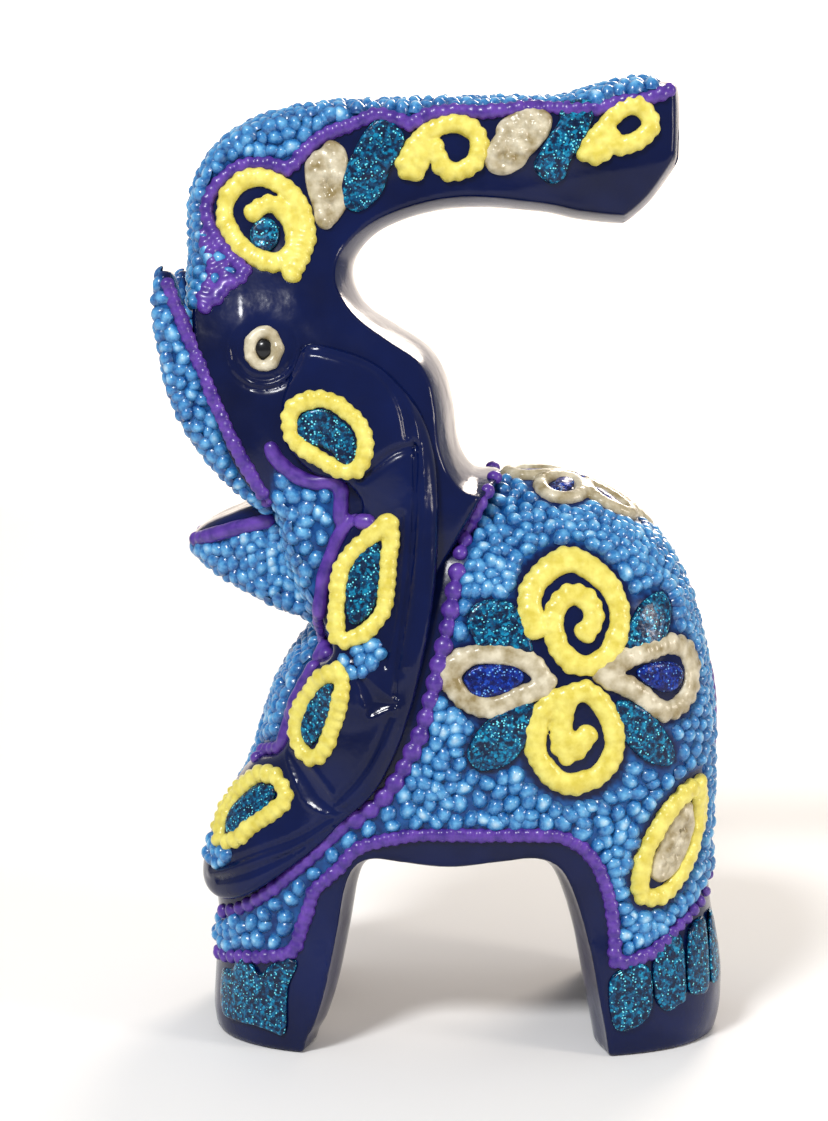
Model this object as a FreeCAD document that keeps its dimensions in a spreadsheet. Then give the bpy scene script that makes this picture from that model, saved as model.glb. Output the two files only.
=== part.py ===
# Alebrije elephant: a carved and lacquered wooden figure with raised paint ornament.
# Millimetres. +Z is up, the elephant faces -X and its left side is -Y. The origin is
# on the floor, under the middle of the figure.
import FreeCAD, Part
import math
import os
from FreeCAD import Placement, Rotation, Vector

doc = FreeCAD.newDocument("alebrije")

# ---------------------------------------------------------------- driving dimensions
DIMENSIONS = [
    ("body_half_width", 31.5, "half the width of the body block, the widest carved part"),
    ("head_half_width", 22.0, "half the width of the head at the eyes"),
    ("trunk_half_width", 10.0, "half the width of the raised trunk"),
    ("body_roundness", 3.0, "superellipse exponent of the body's level sections"),
    ("head_roundness", 3.2, "superellipse exponent of the head and trunk sections"),
    ("arch_foot_width", 57.0, "gap between front and hind feet at the floor"),
    ("arch_top_width", 42.0, "gap between front and hind legs under the belly"),
    ("arch_height", 37.0, "height of the belly above the floor"),
    ("arch_foot_front", -27.0, "front end of the gap at the floor"),
    ("arch_top_front", -19.0, "front end of the gap under the belly"),
    ("arch_corner", 5.0, "radius in the corners under the belly"),
    ("leg_slot_width", 10.0, "gap between a left leg and a right leg"),
    ("front_slot_height", 30.0, "height of the gap between the front legs"),
    ("hind_slot_height", 26.0, "height of the gap between the hind legs"),
    ("ear_thickness", 4.0, "thickness of the ear flaps"),
    ("rope_height", 1.5, "height of the dotted ropes of paint"),
    ("fill_height", 0.7, "height of the glitter paint inside the motifs"),
    ("rope_width", 2.8, "width of a yellow rope of paint"),
    ("rim_width", 2.6, "width of a cream rim of paint"),
    ("border_width", 3.0, "width of a purple border of paint"),
    ("tusk_thickness", 9.0, "width of a tusk across the figure"),
    ("tusk_offset", 10.5, "distance of a tusk's inner face from the middle"),
    ("tail_radius", 2.6, "radius of the tail"),
    ("tail_length", 36.0, "length of the straight part of the tail"),
    ("eye_ring_radius", 2.6, "radius of the painted ring round an eye"),
    ("eye_ring_bead", 0.8, "radius of the bead of paint that forms the ring"),
    ("pupil_radius", 1.6, "radius of the painted pupil"),
    ("dowel_radius", 3.0, "radius of the dowels in the neck joint"),
    ("dowel_length", 26.0, "length of the dowels in the neck joint"),
    ("peg_radius", 1.5, "radius of the pegs of the ears, tusks and tail"),
    ("peg_length", 12.0, "length of a peg"),
    ("seam_tilt", 45.4, "tilt of the neck joint, in degrees from level"),
]
sheet = doc.addObject("Spreadsheet::Sheet", "dimensions")
for row, (alias, value, meaning) in enumerate(DIMENSIONS, start=1):
    sheet.set("A%d" % row, meaning)
    sheet.set("B%d" % row, str(value))
    sheet.setAlias("B%d" % row, alias)
doc.recompute()

SIDES = (("left", -1), ("right", 1))
REACH = 60.0                # longer than any half width, for cutting tools
SECTION_POINTS = 20         # points on each superellipse of a loft


def size(alias):
    return float(sheet.get(alias))


# ---------------------------------------------------------------- document helpers
exported = []


def keep(item, label):
    """Name a document object and mark it as a piece of the figure."""
    item.Label = label
    exported.append(item)
    return item


def feature(shape, name):
    item = doc.addObject("Part::Feature", name)
    item.Shape = shape
    item.Placement = Placement()
    return item


def primitive(kind, name, place, **bindings):
    """A Part primitive whose sizes are bound to the sheet, at a placement."""
    item = doc.addObject("Part::" + kind, name)
    for prop, expression in bindings.items():
        item.setExpression(prop, expression)
    item.Placement = place
    return item


def cut(name, base, tool):
    item = doc.addObject("Part::Cut", name)
    item.Base = base
    item.Tool = tool
    return item


def fuse(name, items):
    item = doc.addObject("Part::MultiFuse", name)
    item.Shapes = items
    return item


def common(name, base, tool):
    item = doc.addObject("Part::Common", name)
    item.Base = base
    item.Tool = tool
    return item


# ---------------------------------------------------------------- carved outer shape
# Level sections of the body from the feet to the top of the back:
# height, front, back, share of the full half width.
BODY_LEVELS = [
    (0.0, -44.6, 51.4, 0.970),
    (3.0, -45.6, 52.6, 0.992),
    (11.0, -45.0, 52.8, 1.000),
    (20.0, -44.6, 51.6, 1.000),
    (29.0, -46.6, 51.0, 1.000),
    (37.0, -44.4, 51.0, 1.000),
    (48.0, -37.0, 51.2, 1.000),
    (60.0, -30.0, 51.0, 0.995),
    (72.0, -24.0, 49.4, 0.965),
    (83.0, -20.0, 46.6, 0.890),
    (92.0, -16.0, 42.0, 0.770),
    (99.0, -10.0, 35.0, 0.600),
    (104.0, -1.0, 25.0, 0.350),
    (106.0, 6.0, 17.0, 0.120),
]
# Sections of the neck, head and trunk, from inside the body to the trunk's tip: the
# point on the nape side and the point on the face side (both x, z), and the half
# width as a share of the head's or the trunk's.
HEAD_SECTIONS = [
    ((14.0, 96.0), (-17.0, 65.0), "head_half_width", 1.08),
    ((5.0, 106.6), (-25.0, 76.0), "head_half_width", 1.12),
    ((1.8, 115.6), (-33.0, 94.0), "head_half_width", 1.09),
    ((-1.2, 124.6), (-40.0, 112.0), "head_half_width", 1.04),
    ((-7.0, 131.6), (-44.5, 127.0), "head_half_width", 0.98),
    ((-15.4, 137.2), (-47.5, 140.0), "head_half_width", 0.82),
    ((-18.0, 144.5), (-49.2, 152.5), "trunk_half_width", 1.42),
    ((-15.6, 149.6), (-45.5, 165.2), "trunk_half_width", 1.20),
    ((-10.5, 152.8), (-35.5, 173.2), "trunk_half_width", 1.08),
    ((-3.0, 154.8), (-19.0, 175.8), "trunk_half_width", 1.02),
    ((8.0, 155.2), (6.0, 176.0), "trunk_half_width", 1.00),
    ((20.0, 154.0), (21.0, 176.6), "trunk_half_width", 1.00),
    ((30.0, 152.8), (31.0, 178.4), "trunk_half_width", 1.04),
    ((38.4, 157.0), (42.2, 178.8), "trunk_half_width", 1.04),
]
# Side outline of the lower jaw, and its plan: a long half ellipse from inside the head.
JAW_OUTLINE = [(-18.0, 96.0), (-33.0, 100.6), (-47.6, 95.2), (-50.2, 92.4), (-46.0, 88.4),
               (-36.0, 83.2), (-18.0, 79.0)]
JAW_ROOT = -20.0


def ring(centre, along, half_long, half_wide, exponent):
    """Points round a superellipse, half_long along a direction, half_wide across Y."""
    points = []
    for step in range(SECTION_POINTS):
        angle = 2.0 * math.pi * step / SECTION_POINTS
        c, s = math.cos(angle), math.sin(angle)
        u = half_long * math.copysign(abs(c) ** (2.0 / exponent), c)
        v = half_wide * math.copysign(abs(s) ** (2.0 / exponent), s)
        points.append(centre + along * u + Vector(0, v, 0))
    return points + points[:1]


def outward(solid):
    """The same solid with its faces turned outwards."""
    if solid.Volume < 0:
        solid.reverse()
    return solid


def skinned(rings):
    """Solid with one smooth skin through rings of points and a flat cap at each end."""
    skin = Part.BSplineSurface()
    skin.interpolate(rings)
    first, last = skin.bounds()[:2]
    caps = [Part.Face(Part.Wire([skin.uIso(at).toShape()])) for at in (first, last)]
    shell = Part.makeShell([skin.toShape()] + caps)
    shell.sewShape()
    return outward(Part.makeSolid(shell))


def body_skin(grow):
    rings = []
    for height, front, back, share in BODY_LEVELS:
        top = height == BODY_LEVELS[-1][0]
        centre = Vector(0.5 * (front + back), 0, height + (grow if top else 0.0))
        rings.append(ring(centre, Vector(1, 0, 0), 0.5 * (back - front) + grow,
                          size("body_half_width") * share + grow, size("body_roundness")))
    return skinned(rings)


def head_skin(grow):
    rings = []
    for nape, face, alias, share in HEAD_SECTIONS:
        inner, outer = Vector(nape[0], 0, nape[1]), Vector(face[0], 0, face[1])
        along = (outer - inner).normalize()
        rings.append(ring((inner + outer) * 0.5, along, 0.5 * (outer - inner).Length + grow,
                          size(alias) * share + grow, size("head_roundness")))
    return skinned(rings)


def spline(points, closed):
    curve = Part.BSplineCurve()
    curve.interpolate(Points=[Vector(x, 0, z) for x, z in points], PeriodicFlag=closed)
    return curve


def plate(points):
    """Flat face in the XZ plane inside a smooth closed outline."""
    return Part.Face(Part.Wire([spline(points, True).toShape()]))


def jaw():
    slab = plate(JAW_OUTLINE).extrude(Vector(0, 2 * REACH, 0))
    slab.translate(Vector(0, -REACH, 0))
    tip = min(x for x, z in JAW_OUTLINE)
    plan = Part.Ellipse(Vector(JAW_ROOT, 0, 0), JAW_ROOT - tip, 0.75 * size("head_half_width"))
    column = Part.Face(Part.Wire([plan.toShape()])).extrude(Vector(0, 0, 3 * REACH))
    return slab.common(column)


grown = {}


def surface(region, grow=0.0):
    """Carved outer shape thickened by grow: the body, the head or both in one."""
    if (region, grow) not in grown:
        if region == "body":
            shape = body_skin(grow)
        elif region == "head":
            shape = head_skin(grow)
        else:
            shape = surface("body", grow).fuse(surface("head", grow))
        grown[region, grow] = shape
    return grown[region, grow]


carving = feature(surface("both").fuse(jaw()), "carving")

# ---------------------------------------------------------------- gaps between the legs
ON_ITS_SIDE = Rotation(Vector(1, 0, 0), 90)         # local Y becomes up, local Z becomes -Y
TO_THE_FRONT = Rotation(Vector(0, 1, 0), -90)       # local Z becomes -X

arch_block = primitive(
    "Wedge", "arch_block", Placement(Vector(0, 0, 0), ON_ITS_SIDE),
    Xmin="dimensions.arch_foot_front",
    Xmax="dimensions.arch_foot_front + dimensions.arch_foot_width",
    X2min="dimensions.arch_top_front",
    X2max="dimensions.arch_top_front + dimensions.arch_top_width",
    Ymax="dimensions.arch_height")
arch_block.Zmin = arch_block.Z2min = -REACH
arch_block.Zmax = arch_block.Z2max = REACH
doc.recompute()
under_belly = [
    index for index, edge in enumerate(arch_block.Shape.Edges, start=1)
    if edge.BoundBox.ZMin > size("arch_height") - 0.1 and edge.BoundBox.YLength > REACH]
arch = doc.addObject("Part::Fillet", "arch")
arch.Base = arch_block
arch.Edges = [(index, size("arch_corner"), size("arch_corner")) for index in under_belly]


def leg_slot(name, start, length, height_alias):
    """Upright gap with a round top between a left leg and a right leg."""
    half = 0.5 * size("leg_slot_width")
    box = primitive("Box", name + "_box", Placement(Vector(start, -half, -1), Rotation()),
                    Width="dimensions.leg_slot_width",
                    Height="dimensions.%s - dimensions.leg_slot_width / 2 + 1" % height_alias)
    box.Length = length
    top = Vector(start + length, 0, size(height_alias) - half)
    arc = primitive("Cylinder", name + "_top", Placement(top, TO_THE_FRONT),
                    Radius="dimensions.leg_slot_width / 2")
    arc.Height = length
    return fuse(name, [box, arc])


front_slot = leg_slot("front_slot", -REACH, REACH, "front_slot_height")
hind_slot = leg_slot("hind_slot", 5.0, REACH, "hind_slot_height")
leg_gaps = fuse("leg_gaps", [arch, front_slot, hind_slot])

# ---------------------------------------------------------------- neck joint and dowels
NAPE_SEAM = Vector(8.0, 0, 106.2)
SEAM_LENGTH = 46.0
seam_turn = Rotation(Vector(0, 1, 0), -size("seam_tilt"))
seam_down = seam_turn.multVec(Vector(-1, 0, 0))      # along the joint, nape to throat
head_side = doc.addObject("Part::Box", "head_side")
head_side.Length = head_side.Width = head_side.Height = 8 * REACH
head_side.Placement = Placement(NAPE_SEAM, seam_turn).multiply(
    Placement(Vector(-4 * REACH, -4 * REACH, 0), Rotation()))
blanks = [feature(surface("body"), "body_blank"), feature(surface("head"), "head_blank"),
          feature(jaw(), "jaw_blank")]
above = [common(item.Name + "_above", item, head_side) for item in blanks]
body_rough = cut("body_rough", cut("body_below", blanks[0], head_side), leg_gaps)
head_rough = fuse("head_rough", above)


def cylinder(name, middle, turn, radius, length):
    """Round peg centred on a point; turn carries its length from +Z."""
    item = primitive("Cylinder", name, Placement(), Radius="dimensions." + radius,
                     Height="dimensions." + length)
    item.Placement = Placement(middle, turn).multiply(
        Placement(Vector(0, 0, -0.5 * size(length)), Rotation()))
    return item


NECK_DOWELS = [0.36, 0.64]                          # places along the joint
neck_dowels = fuse("neck_dowels_solid", [
    cylinder("neck_dowel_%d" % number, NAPE_SEAM + seam_down * (SEAM_LENGTH * place),
             seam_turn, "dowel_radius", "dowel_length")
    for number, place in enumerate(NECK_DOWELS)])

# ---------------------------------------------------------------- flaps, tusks and tail
EAR_OUTLINE = [                                     # x, z, from the brow backwards
    (-27.0, 127.0), (-22.0, 131.3), (-15.5, 130.0), (-8.5, 124.5), (-3.5, 116.5),
    (-1.6, 106.0), (-1.8, 90.0), (-4.0, 76.0), (-8.0, 62.0), (-13.0, 50.0),
    (-20.0, 42.0), (-28.0, 36.0), (-37.0, 31.5), (-43.0, 32.5), (-44.6, 37.0),
    (-41.5, 46.5), (-36.5, 54.5), (-30.0, 58.8), (-27.6, 64.5), (-24.5, 72.0),
    (-19.0, 76.0), (-21.2, 84.0), (-20.0, 92.0), (-14.5, 101.8), (-19.5, 106.8),
    (-26.0, 108.6), (-29.0, 114.0), (-29.2, 121.0)]


def ribbon(points, width):
    """Flat strip of paint along a smooth open line, with round ends."""
    line = spline(points, False)
    first, last = line.FirstParameter, line.LastParameter
    steps = 4 * (len(points) - 1)
    left_edge, right_edge = [], []
    for step in range(steps + 1):
        at = first + (last - first) * step / steps
        tangent = line.tangent(at)[0]
        across = Vector(-tangent.z, 0, tangent.x) * (0.5 * width)
        left_edge.append(line.value(at) + across)
        right_edge.append(line.value(at) - across)
    ends = [(left_edge[-1], right_edge[-1], line.value(last), line.tangent(last)[0]),
            (right_edge[0], left_edge[0], line.value(first), line.tangent(first)[0] * -1)]
    edges = []
    for side_points in (left_edge, right_edge):
        curve = Part.BSplineCurve()
        curve.interpolate(Points=side_points)
        edges.append(curve.toShape())
    for start, stop, middle, outwards in ends:
        edges.append(Part.Arc(start, middle + outwards * (0.5 * width), stop).toShape())
    return Part.Face(Part.Wire(Part.__sortEdges__(edges)))


def petal(base, tip, width, inset=0.0):
    """Flat teardrop: round at its base, pointed at its tip, shrunk all round by inset."""
    base, tip = Vector(base[0], 0, base[1]), Vector(tip[0], 0, tip[1])
    along = (tip - base).normalize()
    length = (tip - base).Length - 2.6 * inset
    across = Vector(-along.z, 0, along.x)
    start = base + along * inset
    half = 0.5 * width - inset
    finish = start + along * length
    edges = []
    for turn in (1, -1):
        curve = Part.BSplineCurve()
        curve.interpolate(Points=[
            start, start + along * (0.10 * length) + across * (0.62 * half * turn),
            start + along * (0.38 * length) + across * (half * turn),
            start + along * (0.76 * length) + across * (0.56 * half * turn), finish])
        edges.append(curve.toShape())
    return Part.Face(Part.Wire(Part.__sortEdges__(edges)))


def relief(faces, region, lower, upper):
    """Raised solids on the left side, under flat outlines in the XZ plane."""
    solids = []
    for face in faces:
        prism = face.extrude(Vector(0, -REACH, 0))
        skin = prism.common(surface(region, upper)).cut(surface(region, lower))
        solids += [outward(solid) for solid in skin.Solids if abs(solid.Volume) > 0.5]
    return Part.makeCompound(solids)


def mirrored(shape):
    """The same solids on the other side of the figure."""
    solids = [outward(solid) for solid in shape.mirror(Vector(), Vector(0, 1, 0)).Solids]
    return Part.makeCompound(solids)


left_flap = relief([plate(EAR_OUTLINE)], "both", 0.0, size("ear_thickness"))
ears = {"left": feature(left_flap, "ear_flap_left"),
        "right": feature(mirrored(left_flap), "ear_flap_right")}

TUSK_OUTER = [(-33.0, 99.5), (-46.5, 112.5), (-53.4, 132.0), (-52.6, 144.8)]
TUSK_INNER = [(-50.6, 142.0), (-44.0, 129.0), (-38.0, 116.0), (-31.0, 101.5)]


def tusk_profile(body):
    """Crescent sketch: two smooth edges that meet in a point above."""
    sketch = body.newObject("Sketcher::SketchObject", body.Name + "_profile")
    plane = [item for item in body.Origin.OriginFeatures if item.Role == "XZ_Plane"][0]
    sketch.AttachmentSupport = [(plane, "")]
    sketch.MapMode = "FlatFace"
    for edge in (TUSK_OUTER, TUSK_INNER):
        curve = Part.BSplineCurve()
        curve.interpolate(Points=[Vector(x, z, 0) for x, z in edge])
        sketch.addGeometry(curve, False)
    corners = [(TUSK_OUTER[-1], TUSK_INNER[0]), (TUSK_INNER[-1], TUSK_OUTER[0])]
    for start, stop in corners:
        sketch.addGeometry(Part.LineSegment(Vector(start[0], start[1], 0),
                                            Vector(stop[0], stop[1], 0)), False)
    return sketch


tusks = {}
for name, side in SIDES:
    body = doc.addObject("PartDesign::Body", "tusk_blank_" + name)
    pad = body.newObject("PartDesign::Pad", "tusk_pad_" + name)
    pad.Profile = tusk_profile(body)
    pad.setExpression("Length", "dimensions.tusk_thickness")
    pad.Midplane = True
    middle = side * (size("tusk_offset") + 0.5 * size("tusk_thickness"))
    body.Placement = Placement(Vector(0, middle, 0), Rotation())
    tusks[name] = cut("tusk_cut_" + name, body, carving)

# The tail lies in a groove down the middle of the rump and ends in a round tuft.
TAIL_ROOT = Vector(49.4, 0, 82.0)
TAIL_LEAN = 2.4                                     # degrees the tail leans back at its foot
tail_turn = Rotation(Vector(0, 1, 0), 180 - TAIL_LEAN)
tail_shaft = primitive("Cylinder", "tail_shaft", Placement(TAIL_ROOT, tail_turn),
                       Radius="dimensions.tail_radius", Height="dimensions.tail_length")
tail_foot = TAIL_ROOT + tail_turn.multVec(Vector(0, 0, size("tail_length")))
tail_top = primitive("Sphere", "tail_top", Placement(TAIL_ROOT, Rotation()),
                     Radius="dimensions.tail_radius")
tail_tuft = primitive("Ellipsoid", "tail_tuft", Placement(tail_foot, tail_turn),
                      Radius1="dimensions.tail_radius * 2.2",
                      Radius2="dimensions.tail_radius * 1.25",
                      Radius3="dimensions.tail_radius * 1.25")
tail_solid = fuse("tail_solid", [tail_shaft, tail_top, tail_tuft])

# ---------------------------------------------------------------- pegs inside the joints
ACROSS = Rotation(Vector(1, 0, 0), 90)              # carries a length from +Z to -Y
EAR_PEGS = [(-13.0, 20.0, 117.0), (-10.0, 26.0, 84.0)]     # x, distance from the middle, z
TUSK_PEG = Vector(-40.0, 0, 111.0)
TUSK_PEG_TURN = Rotation(Vector(0, 1, 0), 62)
ear_pegs, tusk_pegs = [], []
for name, side in SIDES:
    for number, (x, depth, z) in enumerate(EAR_PEGS):
        ear_pegs.append(cylinder("ear_peg_%s_%d" % (name, number), Vector(x, side * depth, z),
                                 ACROSS, "peg_radius", "peg_length"))
    middle = TUSK_PEG + Vector(0, side * (size("tusk_offset") + 0.5 * size("tusk_thickness")), 0)
    tusk_pegs.append(cylinder("tusk_peg_" + name, middle, TUSK_PEG_TURN, "peg_radius",
                              "peg_length"))
ear_peg_set = fuse("ear_peg_set", ear_pegs)
tusk_peg_set = fuse("tusk_peg_set", tusk_pegs)
tail_peg = cylinder("tail_peg_solid", TAIL_ROOT - Vector(4.5, 0, 6.0), TO_THE_FRONT,
                    "peg_radius", "peg_length")
pegs = fuse("pegs", [neck_dowels, ear_peg_set, tusk_peg_set, tail_peg])

# ---------------------------------------------------------------- wooden pieces
body_tools = fuse("body_tools", [pegs, tail_solid])
keep(cut("body_block_cut", body_rough, body_tools), "body_block")
keep(cut("head_block_cut", head_rough, pegs), "head_block")
for name, side in SIDES:
    keep(cut("ear_drilled_" + name, ears[name], ear_peg_set), "ear_" + name)
    keep(cut("tusk_drilled_" + name, tusks[name], tusk_peg_set), "tusk_" + name)
keep(cut("tail_drilled", tail_solid, tail_peg), "tail")
keep(neck_dowels, "neck_dowels")
keep(ear_peg_set, "ear_pegs")
keep(tusk_peg_set, "tusk_pegs")
keep(tail_peg, "tail_peg")

# ---------------------------------------------------------------- eyes
EYE = (-33.5, 129.5)
EYE_DEPTH = 20.6
for name, side in SIDES:
    place = Placement(Vector(EYE[0], side * EYE_DEPTH, EYE[1]), ACROSS)
    bead = primitive("Torus", "eye_ring_bead_" + name, place,
                     Radius1="dimensions.eye_ring_radius", Radius2="dimensions.eye_ring_bead")
    keep(cut("eye_ring_cut_" + name, bead, carving), "eye_ring_" + name)
    pupil = primitive("Sphere", "pupil_ball_" + name, place, Radius="dimensions.pupil_radius")
    keep(cut("pupil_cut_" + name, pupil, carving), "eye_pupil_" + name)

# ---------------------------------------------------------------- raised paint motifs
FLANK_SCROLLS = [
    [(15.0, 78.6), (12.8, 86.6), (21.0, 93.8), (31.4, 84.5), (25.0, 73.4), (18.0, 79.6),
     (21.4, 87.4), (27.0, 84.6), (24.0, 79.6)],
    [(21.5, 60.2), (18.6, 65.2), (24.0, 69.6), (30.8, 64.6), (29.6, 55.0), (22.0, 51.0),
     (15.0, 56.0), (14.6, 63.6)],
]
FLANK_PETALS = [((-0.2, 71.2), (18.4, 70.6), 11.0), ((44.6, 71.4), (27.6, 71.6), 12.0)]
FLANK_LEAVES = [((4.6, 77.0), (13.8, 83.8), 8.0), ((38.6, 77.4), (32.4, 85.4), 7.0),
                ((5.6, 65.0), (14.4, 57.0), 8.0), ((40.0, 57.0), (32.0, 66.2), 8.0)]
THIGH_LEAF = ((33.4, 53.4), (46.8, 28.8), 13.0)
EAR_LEAVES = [((-15.0, 119.0), (-27.5, 108.6), 12.0), ((-10.6, 99.0), (-19.8, 79.0), 11.5),
              ((-18.0, 74.0), (-26.5, 57.5), 10.0), ((-28.5, 52.0), (-43.0, 38.6), 11.5)]
TRUNK_SCROLLS = [
    [(-38.4, 151.8), (-34.0, 156.8), (-29.6, 153.6), (-30.6, 147.0), (-37.0, 145.4),
     (-42.0, 150.0), (-41.4, 158.0), (-34.2, 161.4), (-26.8, 156.6), (-26.4, 148.6)],
    [(-9.6, 161.6), (-2.6, 160.4), (4.4, 163.0), (3.6, 169.0), (-3.0, 170.2), (-9.4, 167.0)],
    [(26.4, 165.6), (31.6, 163.4), (36.4, 167.4), (34.4, 172.6), (28.6, 173.4), (25.0, 169.6)],
]
TRUNK_PETALS = [((-22.6, 167.4), (-22.6, 151.6), 7.2), ((15.4, 173.0), (9.8, 160.6), 8.0)]
TRUNK_LEAVES = [((-12.6, 170.8), (-17.0, 154.6), 8.0), ((23.4, 174.2), (18.6, 160.0), 8.0)]
COLLAR = [(7.4, 104.4), (3.2, 92.4), (1.2, 80.0), (-1.6, 68.0), (-7.4, 54.6), (-16.0, 43.2),
          (-27.0, 34.6)]
TRUNK_BORDER = [(-39.2, 143.0), (-44.4, 150.0), (-43.8, 157.0), (-38.0, 162.6), (-29.0, 161.8),
                (-24.0, 167.4), (-14.0, 171.2), (0.0, 172.8), (16.0, 173.4), (30.0, 174.6),
                (39.0, 177.4)]
BELLY_BORDER = [(-18.0, 40.6), (-8.0, 42.0), (10.0, 43.0), (20.0, 41.6), (27.6, 34.0),
                (30.6, 22.0), (37.0, 20.0), (47.0, 27.4)]

rope, fill, ear_top = size("rope_height"), size("fill_height"), size("ear_thickness")
rim, rope_wide, border_wide = size("rim_width"), size("rope_width"), size("border_width")


def motif(name, faces, region, lower, height):
    """One node of raised paint on each side of the figure."""
    shape = relief(faces, region, lower, lower + height)
    keep(feature(shape, name + "_left_paint"), name + "_left")
    keep(feature(mirrored(shape), name + "_right_paint"), name + "_right")


def rims(petals, width):
    """Hollow outlines of petals, for a rope of paint laid round each one."""
    return [petal(*shape).cut(petal(*shape, inset=width)).Faces[0] for shape in petals]


def hearts(petals, width):
    return [petal(*shape, inset=width) for shape in petals]


motif("flank_scrolls", [ribbon(line, rope_wide) for line in FLANK_SCROLLS],
      "body", 0.0, rope)
motif("flank_petal_rims", rims(FLANK_PETALS, rim), "body", 0.0, rope)
motif("flank_petal_hearts", hearts(FLANK_PETALS, rim), "body", 0.0, fill)
motif("flank_leaves", hearts(FLANK_LEAVES, 0.0), "body", 0.0, fill)
motif("thigh_leaf_rim", rims([THIGH_LEAF], rope_wide), "body", 0.0, rope)
motif("thigh_leaf_heart", hearts([THIGH_LEAF], rope_wide), "body", 0.0, fill)
motif("ear_leaf_rims", rims(EAR_LEAVES, rope_wide), "both", ear_top, rope)
motif("ear_leaf_hearts", hearts(EAR_LEAVES, rope_wide), "both", ear_top, fill)
motif("trunk_scrolls", [ribbon(line, rope_wide) for line in TRUNK_SCROLLS],
      "head", 0.0, rope)
motif("trunk_petal_rims", rims(TRUNK_PETALS, rim * 0.8), "head", 0.0, rope)
motif("trunk_petal_hearts", hearts(TRUNK_PETALS, rim * 0.8), "head", 0.0, fill)
motif("trunk_leaves", hearts(TRUNK_LEAVES, 0.0), "head", 0.0, fill)
motif("collar", [ribbon(COLLAR, border_wide)], "body", 0.0, rope)
motif("trunk_border", [ribbon(TRUNK_BORDER, 0.6 * border_wide)],
      "head", 0.0, rope)
motif("belly_border", [ribbon(BELLY_BORDER, 0.7 * border_wide)],
      "body", 0.0, rope)

# ---------------------------------------------------------------- toenails
# Upright strokes of glitter paint on the feet: middle (x), foot (z) and height.
NAIL_WIDTH = 3.2
FRONT_NAILS = [(-39.0, 4.6, 12.0), (-35.0, 4.4, 13.0), (-31.0, 4.4, 13.5), (-27.6, 4.6, 13.0)]
HIND_NAILS = [(33.6, 5.0, 11.0), (38.8, 8.0, 12.5), (43.6, 10.0, 14.0), (48.0, 12.0, 13.0)]
for label, nails in (("toenails_front", FRONT_NAILS), ("toenails_hind", HIND_NAILS)):
    faces = [ribbon([(x, z), (x, z + 0.5 * tall), (x + 0.2, z + tall)], NAIL_WIDTH)
             for x, z, tall in nails]
    strokes = relief(faces, "body", 0.0, rope)
    both = Part.makeCompound(strokes.Solids + mirrored(strokes).Solids)
    keep(feature(both, label + "_paint"), label)

# ---------------------------------------------------------------- flower on the back
FLOWER = Vector(25.0, 0, 0)
FLOWER_PETALS = 6
FLOWER_REACH = 13.0


def from_above(face, lower, upper):
    """Raised solid that follows the top of the body under a level outline."""
    prism = face.extrude(Vector(0, 0, REACH))
    prism.translate(Vector(0, 0, 1.4 * REACH))
    return prism.common(surface("body", upper)).cut(surface("body", lower)).Solids


flower_petals, flower_hearts = [], []
lay_flat = Rotation(Vector(1, 0, 0), -90)
for number in range(FLOWER_PETALS):
    turn = Placement(FLOWER, Rotation(Vector(0, 0, 1), 360.0 * number / FLOWER_PETALS)).multiply(
        Placement(Vector(), lay_flat))
    outer = petal((FLOWER_REACH, 0), (3.4, 0), 7.0)
    heart = petal((FLOWER_REACH, 0), (3.4, 0), 7.0, inset=0.7 * rim)
    hollow = outer.cut(heart).Faces[0]
    for face, height, solids in ((hollow, rope, flower_petals), (heart, fill, flower_hearts)):
        face.Placement = turn.multiply(face.Placement)
        solids += from_above(face, 0.0, height)
keep(feature(Part.makeCompound(flower_petals), "back_flower_paint"), "back_flower_rims")
keep(feature(Part.makeCompound(flower_hearts), "back_hearts_paint"), "back_flower_hearts")

# ---------------------------------------------------------------- check and write
doc.recompute()
for item in doc.Objects:
    if "Invalid" in item.State or "Error" in item.State:
        raise RuntimeError("%s did not build: %s" % (item.Label, item.State))
os.makedirs("parts", exist_ok=True)
for item in exported:
    shape = item.Shape
    if shape.isNull() or not shape.isValid() or not shape.Solids:
        raise RuntimeError("%s has no valid solid" % item.Label)
    shape.exportStep("parts/%s.step" % item.Label)
    print("%-26s %2d solids %9.1f mm3" % (item.Label, len(shape.Solids), shape.Volume))
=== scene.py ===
import math

import bpy
import numpy as np
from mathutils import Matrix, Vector
from mathutils.bvhtree import BVHTree
from mathutils.kdtree import KDTree


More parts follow.
